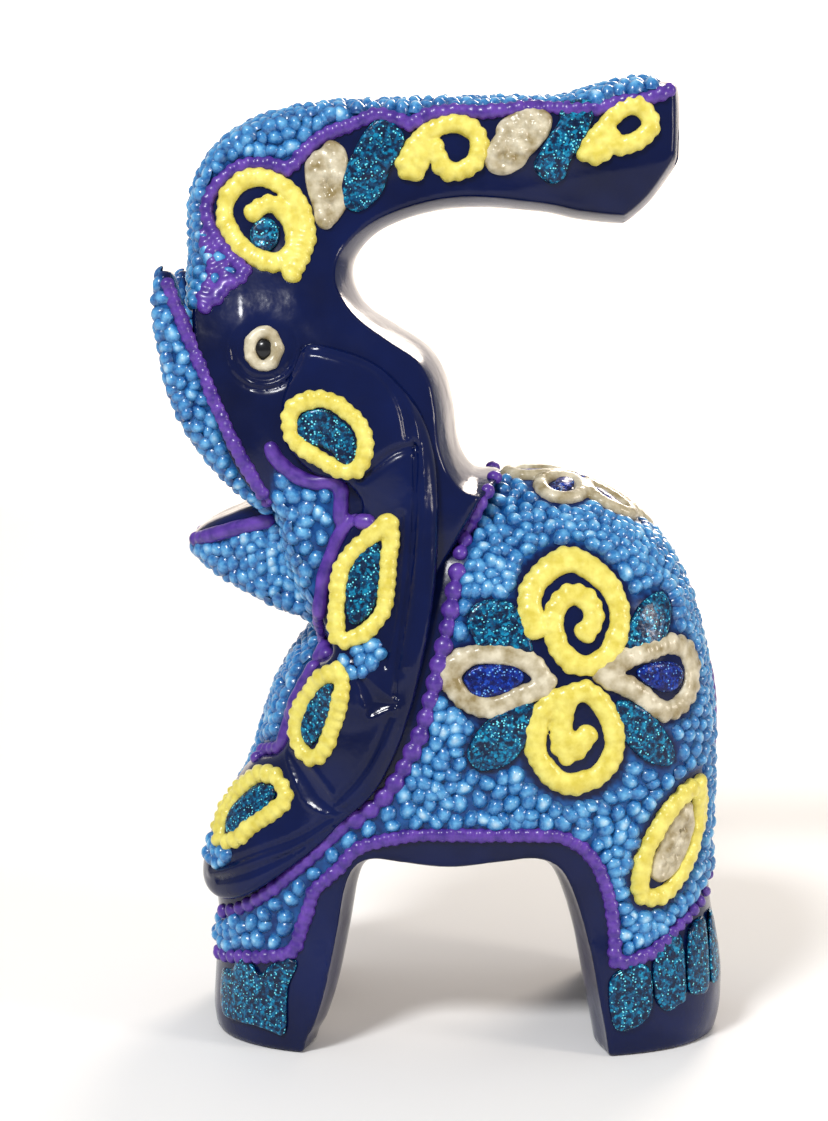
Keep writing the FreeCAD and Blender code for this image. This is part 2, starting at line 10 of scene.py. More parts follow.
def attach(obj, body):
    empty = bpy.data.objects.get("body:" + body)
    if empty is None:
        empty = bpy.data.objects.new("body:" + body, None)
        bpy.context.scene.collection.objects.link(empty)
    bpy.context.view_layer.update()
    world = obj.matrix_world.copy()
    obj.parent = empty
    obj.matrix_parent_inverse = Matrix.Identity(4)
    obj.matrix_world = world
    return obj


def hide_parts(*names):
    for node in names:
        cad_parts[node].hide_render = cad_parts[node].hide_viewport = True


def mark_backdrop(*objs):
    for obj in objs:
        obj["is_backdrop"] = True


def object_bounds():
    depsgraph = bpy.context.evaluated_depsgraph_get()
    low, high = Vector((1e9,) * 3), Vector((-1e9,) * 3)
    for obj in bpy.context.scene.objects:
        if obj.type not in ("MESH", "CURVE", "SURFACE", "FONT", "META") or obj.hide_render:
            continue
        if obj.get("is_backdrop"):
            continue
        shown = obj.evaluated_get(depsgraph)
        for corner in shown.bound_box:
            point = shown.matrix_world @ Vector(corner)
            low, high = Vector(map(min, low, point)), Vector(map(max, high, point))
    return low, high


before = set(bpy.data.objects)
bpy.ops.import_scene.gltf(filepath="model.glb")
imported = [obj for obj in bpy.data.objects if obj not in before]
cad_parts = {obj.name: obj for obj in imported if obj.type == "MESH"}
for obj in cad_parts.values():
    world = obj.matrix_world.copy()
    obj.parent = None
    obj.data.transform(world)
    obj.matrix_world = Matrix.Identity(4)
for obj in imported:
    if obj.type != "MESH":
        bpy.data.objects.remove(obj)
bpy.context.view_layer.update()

# Lengths below are in millimetres in the CAD frame: x runs from the face to the rump, z is up,
# and the left side is at negative y. MM turns them into Blender's metres.
MM = 0.001
dice = np.random.default_rng(11)


# ---- lines and fields
def smooth_line(points, closed=False, gap=1.0):
    """Even points along a smooth line through the given points."""
    p = np.array(points, float)
    if closed:
        p = np.vstack([p[-1:], p, p[:2]])
    else:
        p = np.vstack([2 * p[0] - p[1], p, 2 * p[-1] - p[-2]])
    t = np.linspace(0, 1, 12, endpoint=False)[:, None]
    runs = [0.5 * (2 * b + (c - a) * t + (2 * a - 5 * b + 4 * c - d) * t ** 2
                   + (3 * b - a - 3 * c + d) * t ** 3)
            for a, b, c, d in zip(p[:-3], p[1:-2], p[2:-1], p[3:])]
    line = np.vstack(runs + [p[-2:-1]])
    along = np.concatenate([[0], np.cumsum(np.linalg.norm(np.diff(line, axis=0), axis=1))])
    even = np.linspace(0, along[-1], max(3, round(along[-1] / gap) + 1))
    return np.stack([np.interp(even, along, line[:, i]) for i in range(p.shape[1])], 1)


def off_line(line, x, z):
    """Distance from an open line in the side view."""
    best = 1e9
    for (ax, az), (bx, bz) in zip(line[:-1], line[1:]):
        ex, ez = bx - ax, bz - az
        t = np.clip(((x - ax) * ex + (z - az) * ez) / (ex * ex + ez * ez + 1e-12), 0, 1)
        best = np.minimum(best, (x - ax - t * ex) ** 2 + (z - az - t * ez) ** 2)
    return np.sqrt(best)


def off_outline(line, x, z):
    """Distance from a closed outline in the side view, negative inside it."""
    inside = np.zeros(np.broadcast(x, z).shape, bool)
    for (ax, az), (bx, bz) in zip(line[:-1], line[1:]):
        if az != bz:
            inside ^= ((az > z) != (bz > z)) & (x < (bx - ax) * (z - az) / (bz - az) + ax)
    return np.where(inside, -1.0, 1.0) * off_line(line, x, z)


def larger(a, b, blend):
    """The larger of two fields, with a rounded change between them."""
    h = np.clip(0.5 + 0.5 * (a - b) / blend, 0, 1)
    return b + (a - b) * h + blend * h * (1 - h)


def smaller(a, b, blend):
    return -larger(-a, -b, blend)


def ramp(value, start, stop):
    t = np.clip((value - start) / (stop - start), 0, 1)
    return t * t * (3 - 2 * t)


def bump(distance, width):
    return np.exp(-(distance / width) ** 2)


# ---- surfaces from fields
CORNERS = [(number & 1, number >> 1 & 1, number >> 2) for number in range(8)]
EDGES = [(a, a | bit) for bit in (1, 2, 4) for a in range(8) if not a & bit]


def shell_of(values, low, step):
    """Points and four-sided faces of the surface where a block of values changes sign."""
    size = np.array(values.shape)
    cut = [slice(0, n - 1) for n in size], [slice(1, n) for n in size]
    corner = [values[tuple(cut[c[i]][i] for i in range(3))] for c in CORNERS]
    count = sum((v < 0).astype(np.int8) for v in corner)
    live = (count > 0) & (count < 8)
    where = np.argwhere(live)
    index = np.full(live.shape, -1)
    index[live] = np.arange(len(where))
    at = tuple(where.T)
    held = [v[at] for v in corner]
    total, hits = np.zeros((len(where), 3)), np.zeros(len(where))
    for a, b in EDGES:
        crossing = (held[a] < 0) != (held[b] < 0)
        t = np.where(crossing, held[a] / np.where(crossing, held[a] - held[b], 1), 0)
        start, way = np.array(CORNERS[a], float), np.array(CORNERS[b], float) - CORNERS[a]
        total += (start + t[:, None] * way) * crossing[:, None]
        hits += crossing
    points = low + (where + total / hits[:, None]) * step
    faces = []
    for axis in range(3):
        b, c = (axis + 1) % 3, (axis + 2) % 3
        lower, upper = [slice(None)] * 3, [slice(None)] * 3
        lower[axis], upper[axis] = slice(0, -1), slice(1, None)
        inner, outer = values[tuple(lower)] < 0, values[tuple(upper)] < 0
        for flip, edges in ((False, inner & ~outer), (True, outer & ~inner)):
            cells = np.argwhere(edges)
            cells = cells[(cells[:, b] > 0) & (cells[:, c] > 0)
                          & (cells[:, b] < size[b] - 1) & (cells[:, c] < size[c] - 1)]
            ring = []
            for db, dc in ((-1, -1), (0, -1), (0, 0), (-1, 0)):
                spot = cells.copy()
                spot[:, b] += db
                spot[:, c] += dc
                ring.append(index[tuple(spot.T)])
            faces.append(np.stack(ring[::-1] if flip else ring, 1))
    return points, np.vstack(faces)


def slope_of(field, p):
    """Slope of a field along x, y and z at some points."""
    small, rows = 0.06, []
    for axis in range(3):
        ahead, behind = p.copy(), p.copy()
        ahead[:, axis] += small
        behind[:, axis] -= small
        rows.append((field(*ahead.T) - field(*behind.T)) / (2 * small))
    return np.stack(rows, 1)


def carve(field, low, high, step):
    """Points and faces of a field's zero surface, settled onto the exact surface."""
    axes = [np.arange(a, b + step, step) for a, b in zip(low, high)]
    x, y, z = axes[0][:, None, None], axes[1][None, :, None], axes[2][None, None, :]
    values = np.broadcast_to(field(x, y, z), [len(a) for a in axes])
    points, faces = shell_of(values, np.array(low, float), step)
    for _ in range(2):
        slope = slope_of(field, points)
        move = -field(*points.T)[:, None] * slope / np.maximum((slope ** 2).sum(1), 0.2)[:, None]
        points += np.clip(move, -0.4 * step, 0.4 * step)
    return points, faces


# ---- shape of the carving
BEAD_INSET = 1.0  # the wood lies this far inside the beads
BODY_LEVELS = np.array([  # height, front, back, half width
    (-9, -44.6, 51.4, 30.6), (0, -44.6, 51.4, 30.6), (3, -45.4, 52.6, 31.2),
    (11, -44.8, 52.8, 31.5), (20, -44.4, 51.6, 31.5), (29, -46.2, 51.0, 31.5),
    (35, -45.2, 51.0, 31.5), (41, -42.8, 51.0, 31.5), (48, -39.4, 51.2, 31.5), (52, -37.4, 51.2, 31.4),
    (59, -35.4, 51.0, 31.3), (65, -33.6, 50.2, 31.0), (72, -29.6, 49.4, 30.4), (83, -20.0, 46.6, 28.0),
    (92, -16.0, 42.0, 24.3), (99, -10.0, 35.5, 19.4), (104, -1.0, 26.5, 13.0), (107, 3.0, 20.0, 7.0),
    (115, 5, 16, 4)])
BODY_TOP = 105.4
heights = np.arange(BODY_LEVELS[0, 0], BODY_LEVELS[-1, 0], 0.5)
AVERAGED = 12  # heights on each side that one height is averaged with
weights = np.exp(-(np.arange(-AVERAGED, AVERAGED + 1) / 5.0) ** 2)
weights /= weights.sum()
inset = BEAD_INSET * ramp(heights, 16, 26)
LEVEL_COLUMNS = []
for column, sign in ((1, 1), (2, -1), (3, -1)):
    raw = np.interp(heights, BODY_LEVELS[:, 0], BODY_LEVELS[:, column]) + sign * inset
    LEVEL_COLUMNS.append(np.convolve(np.pad(raw, AVERAGED, "edge"), weights, "valid"))

ARCH = smooth_line([
    (-28.5, -20), (-27, 0), (-24.6, 6), (-22.5, 13), (-20.5, 23), (-19, 31.5), (-17, 35.8), (-13.5, 37.4),
    (-8, 36.8), (0.5, 36), (9.5, 37), (16, 37.6), (20.2, 36), (23, 31.5), (25.8, 22.5), (28, 11), (30, 0),
    (32, -20)], True)
SLOT_HALF, FRONT_SLOT, HIND_SLOT = 5.0, 30.0, 26.0  # half width of the slots, and their tops
SPLAY = 2.4  # how much further the arch opens at the flanks than in the middle


def body_skin(x, y, z):
    front, back, half = (np.interp(z, heights, column) for column in LEVEL_COLUMNS)
    middle = 0.5 * (front + back)
    r = (np.abs((x - middle) / (0.5 * (back - front))) ** 3 + np.abs(y / half) ** 3) ** (1 / 3)
    side = np.hypot(x - middle, y) * (1 - 1 / np.maximum(r, 1e-3))
    return larger(side, z - BODY_TOP + 0.02 * y ** 2, 5)


def slot(y, z, height):
    """Round-topped slot between two legs."""
    return np.hypot(y, np.maximum(z - height + SLOT_HALF, 0)) - SLOT_HALF


def body_field(x, y, z):
    splay = SPLAY * ramp(31 - np.abs(y), 0, 13)
    value = larger(body_skin(x, y, z), -off_outline(ARCH, x, z) - splay, 0.45)
    value = larger(value, -larger(slot(y, z, FRONT_SLOT), x + 6, 1), 1.0)
    value = larger(value, -larger(slot(y, z, HIND_SLOT), 10 - x, 1), 1.0)
    return larger(value, -z, 0.9)


HEAD_SIDE = smooth_line([
    (10, 105), (4.8, 106.6), (1.9, 111.5), (0.8, 119), (-0.8, 125), (-4, 129.6), (-9.8, 133.4),
    (-15.4, 137.2), (-17.9, 142), (-17.2, 146.6), (-13, 151), (-5.5, 154), (4, 155.4), (17, 154.6),
    (24, 153.2), (31.6, 152.4), (33.6, 152.9), (37.6, 156.4), (41.2, 161.2), (42.7, 163.8), (43, 166),
    (42.9, 174), (42.6, 177), (41.4, 178.3), (35.5, 178.6), (28, 177.4), (20.5, 175.2), (6, 174.9),
    (-9, 174.6), (-22, 174.2), (-33.2, 172), (-40.2, 168.8), (-45, 163.8), (-47.8, 157), (-48, 149.5),
    (-48.2, 141), (-46.6, 127), (-42, 112), (-37.4, 103.5), (-32.6, 99), (-31.5, 92), (-27, 80), (-18, 66),
    (-8, 72), (4, 92)], True)
HALF_WIDTHS = smooth_line([  # height, half width of the neck, head or trunk
    (60, 25.5), (95, 24), (112, 23), (124, 22), (132, 20.6), (139, 17.8), (146, 14), (152, 11.8),
    (160, 10.8), (172, 10.8), (200, 10.8)])
JAW_SIDE = smooth_line([
    (-18, 96), (-33, 100.4), (-42, 98), (-48, 94.8), (-49.6, 92), (-45.6, 88.6), (-36, 83.6), (-26, 79.6),
    (-18, 78)], True)
JAW_REACH, JAW_HALF = 30.0, 16.5
EYE = (-33.5, 129.5)
NOSTRIL_HEIGHT, NOSTRIL_APART, NOSTRIL_RADIUS = 166.5, 7.4, 2.4
TRUNK_END = 40.4  # where the beads stop before the end of the trunk


def head_field(x, y, z):
    edge = off_outline(HEAD_SIDE, x, z)
    half = np.interp(z, HALF_WIDTHS[:, 0], HALF_WIDTHS[:, 1])
    neck = 1 - ramp(z, 134, 150)
    near = np.clip(10 + edge, 0, 12)
    face = ramp(-x, 24, 38) * neck
    keel = np.maximum(158 + 0.2 * (x - 12) - z, 0) * (1 - neck) * ramp(x, -12, 4)
    flank = np.abs(y) - half + (0.12 + 0.1 * face) * near + 0.16 * keel
    flank = flank + 0.25 * np.sin(0.17 * x + 0.11 * z) + 0.15 * np.sin(0.31 * z - 0.2 * x)
    value = larger(edge + (0.007 + 0.011 * (1 - neck) - 0.004 * face) * y ** 2, flank, 0.6)
    aside = y * JAW_REACH / JAW_HALF
    wide = np.where(x < -20, np.hypot(x + 20, aside), np.abs(aside)) - JAW_REACH
    jaw = larger(off_outline(JAW_SIDE, x, z), 0.55 * wide, 2.0)
    value = smaller(value, jaw, 1.6)
    away = np.hypot(x - EYE[0], z - EYE[1])
    low_side = ramp(EYE[1] + 2 - z, -3, 4)
    folds = 0.55 * bump(away - 5.6, 0.6) + 0.4 * bump(away - 7.2, 0.5) - 0.35 * bump(away - 6.4, 0.5)
    value = value + 0.75 * bump(away, 4.2) + low_side * folds
    for side in (-0.5, 0.5):
        hole = np.hypot(y - side * NOSTRIL_APART, (z - NOSTRIL_HEIGHT) * 0.8) - NOSTRIL_RADIUS
        nostril = larger(hole, 35.5 - x, 1)
        value = larger(value, -nostril, 0.8)
    return value


def skin(x, y, z):
    """The carving under the ears: body and head run into each other."""
    return smaller(body_skin(x, y, z), head_field(x, y, z), 9)


EAR = smooth_line([
    (-27.5, 127), (-25.6, 130.4), (-19.8, 129.6), (-13.9, 127.4), (-9, 123.6), (-4.6, 117.5), (-2, 107),
    (-1.9, 92), (-3.6, 78), (-7, 63.5), (-12.4, 51), (-19.6, 43.6), (-23.6, 39.4), (-29.6, 34.4),
    (-36.6, 29.2), (-42, 27), (-46.2, 27.6), (-48, 31), (-46.8, 36.4), (-43.8, 42.8), (-40.7, 48.3),
    (-36.4, 52.8), (-31.4, 55), (-29.2, 59), (-28.8, 64.5), (-25.4, 71.2), (-21, 74.4), (-21.8, 80),
    (-21, 90), (-18.2, 96.6), (-15.6, 101), (-18.4, 105.4), (-24.5, 107.2), (-29.4, 112.4), (-30.2, 118),
    (-29.6, 122)], True)
EAR_RISE, EAR_APART = 3.0, 11.0  # thickness, and how far from the middle of the chest an ear ends
EAR_LINES = [  # line, height or depth, width
    ([(-26.1, 129.6), (-22.6, 129.2), (-18.2, 128), (-14, 126.4), (-10.6, 123), (-8.4, 119), (-7.4, 114)],
      -0.6, 0.6),
    ([(-6.2, 112.4), (-9.6, 111.2), (-12.7, 109), (-16, 106.6)], -0.8, 0.8),
    ([(-5.9, 112), (-6.1, 101), (-6.6, 92), (-7.6, 83), (-9.2, 72), (-9.4, 67.4)], -0.6, 0.5),
    ([(-8.4, 100), (-9.4, 84), (-11.4, 73)], -0.5, 0.5),
    ([(-10.2, 64), (-12.6, 58.4), (-15.8, 52.8), (-20.2, 48)], -0.6, 0.6),
    ([(-8.6, 62), (-10.8, 55.6), (-14.2, 50.2), (-19, 46.6)], -0.5, 0.6),
    ([(-21, 45.2), (-27, 41.2), (-35, 37.6), (-44, 32.8)], -0.5, 0.5),
    ([(-21, 43.4), (-28, 38.4), (-36, 34.2), (-42.6, 31)], -0.5, 0.5),
    ([(-26.1, 131.2), (-22.6, 130.6), (-18.2, 129.6), (-13.8, 128.1), (-10.1, 124.6), (-7.5, 121.2),
      (-6, 116.7), (-5.4, 113.1)], 0.6, 0.6),
    ([(-4.8, 112), (-4.5, 104), (-5, 95), (-5.8, 84), (-7.4, 73)], 0.5, 0.6),
    ([(-9.4, 65.4), (-11.4, 59.2), (-14.6, 53.4), (-19, 48)], 0.45, 0.6),
    ([(-20.6, 44.4), (-27, 39.8), (-36, 36), (-44.6, 31.4)], 0.45, 0.6)]
EAR_NOTCHES = [  # chip-carved hollows, deepest along their middle
    [(-29.8, 56.6), (-29, 53.5), (-27.5, 50.3), (-25.7, 47.4), (-22.8, 45.9), (-19.6, 45.7), (-20, 47.8),
     (-21.9, 50.7), (-24.7, 53.9), (-27.8, 56.4)],
    [(-18, 73), (-16.5, 69.5), (-14.9, 64.4), (-14.3, 63.5), (-11.5, 64.7), (-8.3, 66.2), (-10.2, 67.3),
     (-12.7, 69.5), (-15.2, 71.7), (-17.1, 73.3)]]
EAR_NOTCHES = [smooth_line(outline, True, 0.8) for outline in EAR_NOTCHES]
EAR_LINES = [(smooth_line(line, gap=2.0), height, width) for line, height, width in EAR_LINES]


def ear_field(x, y, z):
    edge = off_outline(EAR, x, z)
    rise = EAR_RISE + 0.5 * np.sin(0.21 * x + 0.09 * z)
    for line, height, width in EAR_LINES:
        rise = rise + height * bump(off_line(line, x, z), width)
    for outline in EAR_NOTCHES:
        inside = -off_outline(outline, x, z)
        rise = rise - 0.4 * np.clip(inside, 0, 2) + 0.22 * bump(inside, 0.4)
    under = skin(x, y, z)
    value = larger(edge + 0.05 * np.maximum(under, 0) ** 2, under - rise, 1.8)
    return larger(np.maximum(value, -under - 2.5), y + EAR_APART, 1.5)


TUSK_OUTER = [
    (-33, 99.5), (-39.6, 104.6), (-46.3, 112.5), (-50.8, 121.5), (-52.9, 132), (-53.4, 138), (-53, 142.8),
    (-51.9, 143.6)]
TUSK_INNER = [(-50.3, 142.8), (-48.6, 137), (-45.2, 128.6), (-39.8, 116), (-36.6, 109.6), (-32, 101.5)]
TUSK = smooth_line(TUSK_OUTER + TUSK_INNER, True)
TUSK_MIDDLE, TUSK_HALF = 15.2, 4.2


def tusk_field(x, y, z):
    return larger(off_outline(TUSK, x, z), np.abs(y + TUSK_MIDDLE) - TUSK_HALF, 2.6)


# ---- materials
def colour(r, g, b):
    """Screen colour, 0 to 255, as the linear values that a shader takes."""
    parts = [c / 255 for c in (r, g, b)]
    return tuple(c / 12.92 if c <= 0.04045 else ((c + 0.055) / 1.055) ** 2.4 for c in parts) + (1,)


def grey(value):
    return value, value, value, 1


class Finish:
    """A node material around one Principled shader."""

    def __init__(self, name, **values):
        self.material = bpy.data.materials.new(name)
        self.material.use_nodes = True
        self.tree = self.material.node_tree
        self.shader = self.tree.nodes["Principled BSDF"]
        for socket, value in values.items():
            self.shader.inputs[socket.replace("_", " ")].default_value = value

    def node(self, kind, settings=None, **links):
        made = self.tree.nodes.new("ShaderNode" + kind)
        for key, value in (settings or {}).items():
            setattr(made, key, value)
        for socket, value in links.items():
            self.feed(value, made.inputs[socket.replace("_", " ")])
        return made

    def feed(self, value, socket):
        if isinstance(value, bpy.types.NodeSocket):
            self.tree.links.new(value, socket)
        else:
            socket.default_value = value

    def place(self):
        return self.node("TexCoord").outputs["Object"]

    def noise(self, scale, detail):
        return self.node("TexNoise", Vector=self.place(), Scale=scale, Detail=detail).outputs["Fac"]

    def attribute(self, name):
        return self.node("Attribute", {"attribute_name": name}).outputs["Fac"]

    def shades(self, factor, stops):
        """Colour ramp from (position, colour) pairs."""
        made = self.node("ValToRGB", Fac=factor)
        ends = made.color_ramp.elements
        while len(ends) < len(stops):
            ends.new(0.5)
        for end, (position, tint) in zip(ends, stops):
            end.position, end.color = position, tint
        return made.outputs["Color"]

    def relief(self, *layers):
        """Bumps from (height, depth in mm) pairs, one over the other."""
        normal = None
        for height, depth in layers:
            made = self.node("Bump", Height=height, Strength=1.0, Distance=depth * MM)
            if normal is not None:
                self.feed(normal, made.inputs["Normal"])
            normal = made.outputs["Normal"]
        self.feed(normal, self.shader.inputs["Normal"])
        return self

    def drive(self, **links):
        for socket, value in links.items():
            self.feed(value, self.shader.inputs[socket.replace("_", " ")])
        return self


def lacquer_finish():
    made = Finish("navy_lacquer", Coat_Weight=0.05, Coat_Roughness=0.03, Specular_IOR_Level=0.22)
    deep = made.shades(made.noise(55, 3), [(0.3, colour(4, 12, 48)), (0.75, colour(8, 24, 76))])
    painted = made.shades(made.noise(420, 2), [(0.35, colour(8, 46, 104)), (0.65, colour(26, 84, 148))])
    mixed = made.node("MixRGB", Fac=made.attribute("painted"), Color1=deep, Color2=painted)
    smear = made.noise(160, 3)
    made.drive(Base_Color=mixed.outputs["Color"],
               Roughness=made.shades(smear, [(0.35, grey(0.09)), (0.75, grey(0.26))]))
    return made.relief((made.noise(75, 1), 0.5), (made.noise(420, 2), 0.05)).material


def bead_finish():
    made = Finish("blue_bead_paint", Coat_Weight=0.5, Coat_Roughness=0.12, Specular_IOR_Level=0.35)
    # From dark blue at a bead's foot, painted shade between the beads, to near white at its tip, a painted
    # highlight.
    tint = made.shades(made.attribute("tone_and_painted_light"), [
        (0.0, colour(4, 42, 100)), (0.3, colour(16, 84, 150)), (0.62, colour(40, 124, 188)),
        (0.82, colour(100, 174, 222)), (1.0, colour(214, 240, 250))])
    streaks = made.shades(made.noise(1300, 3), [(0.4, colour(10, 72, 142)), (0.62, colour(110, 178, 222))])
    mixed = made.node("MixRGB", Fac=0.28, Color1=tint, Color2=streaks)
    cloud = made.noise(900, 2)
    made.drive(Base_Color=mixed.outputs["Color"],
               Roughness=made.shades(cloud, [(0.3, grey(0.22)), (0.8, grey(0.42))]))
    return made.relief((cloud, 0.12)).material


def gloss_finish(name, dark, light, grain=500, roughness=0.3):
    made = Finish(name, Coat_Weight=0.25, Coat_Roughness=0.15, Specular_IOR_Level=0.35)
    cloud = made.noise(grain, 3)
    made.drive(Base_Color=made.shades(cloud, [(0.32, dark), (0.68, light)]),
               Roughness=made.shades(cloud, [(0.3, grey(roughness)), (0.8, grey(roughness + 0.15))]))
    return made.relief((cloud, 0.08)).material


def glitter_finish(name, dark, mid, light, painted_glint):
    made = Finish(name, Metallic=0.1, Coat_Weight=0.08, Coat_Roughness=0.1, Specular_IOR_Level=0.3)
    flakes = made.node("TexVoronoi", Vector=made.place(), Scale=2100)
    parts = made.node("SeparateColor", Color=flakes.outputs["Color"])
    flake = made.shades(parts.outputs["Red"], [(0.0, dark), (0.5, mid), (1.0, light)])
    clumps = made.shades(made.noise(850, 3), [(0.4, grey(0)), (0.55, grey(1))])
    base = made.node("MixRGB", Fac=clumps, Color1=dark, Color2=flake).outputs["Color"]
    # A few round flecks turn bright in the colour: painted glints of the glitter.
    dot = made.shades(flakes.outputs["Distance"], [(0.28, grey(1)), (0.36, grey(0))])
    chosen = made.shades(parts.outputs["Green"], [(0.7, grey(0)), (0.74, grey(1))])
    glint_spots = made.node("Math", {"operation": "MULTIPLY"})
    made.feed(dot, glint_spots.inputs[0])
    made.feed(chosen, glint_spots.inputs[1])
    mixed = made.node("MixRGB", Fac=glint_spots.outputs["Value"], Color1=base, Color2=painted_glint)
    made.drive(Base_Color=mixed.outputs["Color"],
               Roughness=made.shades(parts.outputs["Blue"], [(0, grey(0.15)), (1, grey(0.4))]))
    return made.relief((parts.outputs["Blue"], 0.15), (made.noise(500, 2), 0.25)).material


def wood_finish():
    made = Finish("bare_wood", Roughness=0.6)
    grain = made.noise(160, 5)
    made.drive(Base_Color=made.shades(grain, [(0.3, colour(150, 104, 62)), (0.7, colour(196, 154, 104))]))
    return made.relief((made.noise(600, 3), 0.1)).material


GLOSSES = {
    "purple_paint": (colour(60, 34, 126), colour(98, 60, 164)),
    "yellow_paint": (colour(208, 192, 76), colour(234, 224, 118)),
    "cream_paint": (colour(138, 122, 82), colour(216, 208, 184), 350, 0.25),
    "black_paint": (colour(6, 6, 10), colour(14, 14, 20), 500, 0.15),
}
# Flake colours dark, middle and light, then the colour of their painted glints.
GLITTERS = {
    "blue_glitter_paint": (colour(2, 14, 78), colour(4, 34, 132), colour(20, 70, 180), colour(110, 168, 232)),
    "teal_glitter_paint": (colour(0, 24, 58), colour(0, 76, 120), colour(10, 140, 182), colour(116, 230, 246)),
}
FINISHES = {"navy_lacquer": lacquer_finish(), "bare_wood": wood_finish(), "blue_bead_paint": bead_finish()}
FINISHES.update((name, gloss_finish(name, *look)) for name, look in GLOSSES.items())
FINISHES.update((name, glitter_finish(name, *look)) for name, look in GLITTERS.items())


# ---- pieces
def piece(name, points, faces, finish, nodes, data=None):
    """A mesh of the figure in its material, standing for some CAD nodes."""
    mesh = bpy.data.meshes.new(name)
    mesh.vertices.add(len(points))
    mesh.vertices.foreach_set("co", (np.asarray(points, np.float32) * MM).ravel())
    mesh.loops.add(faces.size)
    mesh.loops.foreach_set("vertex_index", faces.ravel().astype(np.int32))
    mesh.polygons.add(len(faces))
    mesh.polygons.foreach_set("loop_start", np.arange(0, faces.size, faces.shape[1], dtype=np.int32))
    for key, values in (data or {}).items():
        mesh.attributes.new(key, "FLOAT", "POINT").data.foreach_set("value", np.asarray(values, np.float32))
    mesh.update(calc_edges=True)
    mesh.validate()
    mesh.shade_smooth()
    made = bpy.data.objects.new(name, mesh)
    bpy.context.scene.collection.objects.link(made)
    mesh.materials.append(FINISHES[finish])
    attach(made, "root")
    if nodes:
        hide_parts(*nodes)


EAR_SHIFT = 1.6  # the right ear sits this much further back than the left one


def pair(name, points, faces, finish, nodes=None, shared=(), data=None, shift=0.0):
    """A left piece and its mirror image.

    They stand for the CAD nodes in nodes, given without their side, and for the shared ones.
    Without nodes, the CAD nodes have the name of the piece.
    """
    mirror = points * (1, -1, 1) + (shift, 0, 0), faces[:, ::-1]
    for side, (p, f) in (("left", (points, faces)), ("right", mirror)):
        own = [node + "_" + side for node in ([name] if nodes is None else nodes)]
        piece(name + "_" + side, p, f, finish, own + list(shared), data)


def joined(parts):
    """One set of points and faces out of several."""
    points, faces, count = [], [], 0
    for p, f in parts:
        points.append(p)
        faces.append(f + count)
        count += len(p)
    return np.vstack(points), np.vstack(faces)


BODY_STEP, HEAD_STEP, FINE_STEP = 0.72, 0.6, 0.5  # distance between the points of the carving
body = carve(body_field, (-50, -34, -1.4), (57, 34, 108), BODY_STEP)
head = carve(head_field, (-52, -27, 62), (45, 27, 181), HEAD_STEP)
ear = carve(ear_field, (-51, -38, 25), (2, 0, 134), FINE_STEP)
tusk = carve(tusk_field, (-55, -21, 97), (-29, -9, 146), FINE_STEP)
left_tree = BVHTree.FromPolygons(*(part.tolist() for part in joined([body, head, ear, tusk])))


def meet(start, way):
    """Point and normal where a line first meets the carving, or None."""
    spot, normal, _, _ = left_tree.ray_cast(Vector(start), Vector(way))
    return None if spot is None else (np.array(spot), np.array(normal))


def on_side(places):
    """Points and normals of the carving's left side, at places in the side view."""
    hits = [meet((x, -60, z), (0, 1, 0)) for x, z in places]
    return [hit for hit in hits if hit]


# ---- motifs
FLANK_SCROLLS = [
    [(15.6, 79.2), (14.5, 82.2), (14.6, 85.6), (16.2, 88.6), (19, 90.8), (21.8, 91.8), (24.8, 90.8),
     (27.6, 88.6), (29.9, 85.7), (31, 82.7), (31, 79.6), (30, 76.5), (27.9, 73.8), (25.1, 72.8),
     (22.2, 73.6), (20.1, 75.8), (19.1, 78.8), (19.2, 81.7), (20.4, 84.4), (22.6, 85.7), (24.8, 84.9),
     (26.3, 82.8), (26.3, 80.5), (24.8, 78.6)],
    [(16, 79.4), (15, 82.3), (15.2, 85.5), (16.8, 88.4), (19.5, 90.5), (22.3, 91.2), (25.1, 90.2),
     (27.6, 88.2)],
    [(19.6, 66.9), (17.6, 65.2), (16.2, 62.2), (15.8, 59.2), (16.4, 56.2), (18.3, 53.4), (20.8, 51.6),
     (23.6, 51.4), (26.6, 52.5), (29, 54.8), (30.2, 57.8), (29.9, 61.2), (28.8, 64.5), (27, 66.9),
     (24, 68.4), (21.6, 67.2)],
    [(21.5, 67), (20.9, 64.2), (20.3, 61.2), (20.6, 58.6), (21.8, 56.9), (23.6, 58.4), (25.2, 60.6)],
    [(20.8, 60), (22.4, 58.8)]]
FLANK_PETALS = [
    [(0.4, 71.4), (2.4, 74), (6, 75), (10.6, 74.8), (14.4, 73.8), (16.6, 71.6), (18, 69.2), (15, 68.2),
     (12, 67.2), (8.9, 65.6), (5.2, 65.6), (2, 67.6)],
    [(27.8, 71.4), (32, 73.8), (35.6, 75), (39.6, 75.8), (43, 75.2), (44.8, 71.6), (44.6, 67.6),
     (42.8, 64.8), (39.2, 63.8), (36.2, 66.2), (32.4, 69)]]
FLANK_HEARTS = [
    [(3, 71), (5, 72.8), (9.2, 73.2), (12.6, 72.7), (13.8, 70.8), (12.3, 69), (9.9, 67.8), (5.4, 67.2),
     (3.3, 69.2)],
    [(34.2, 71.6), (36.6, 72.9), (40.2, 72.8), (42.6, 71.6), (43.2, 69.6), (41.9, 67.8), (39.3, 67.4),
     (36.8, 68.6), (35, 70)]]
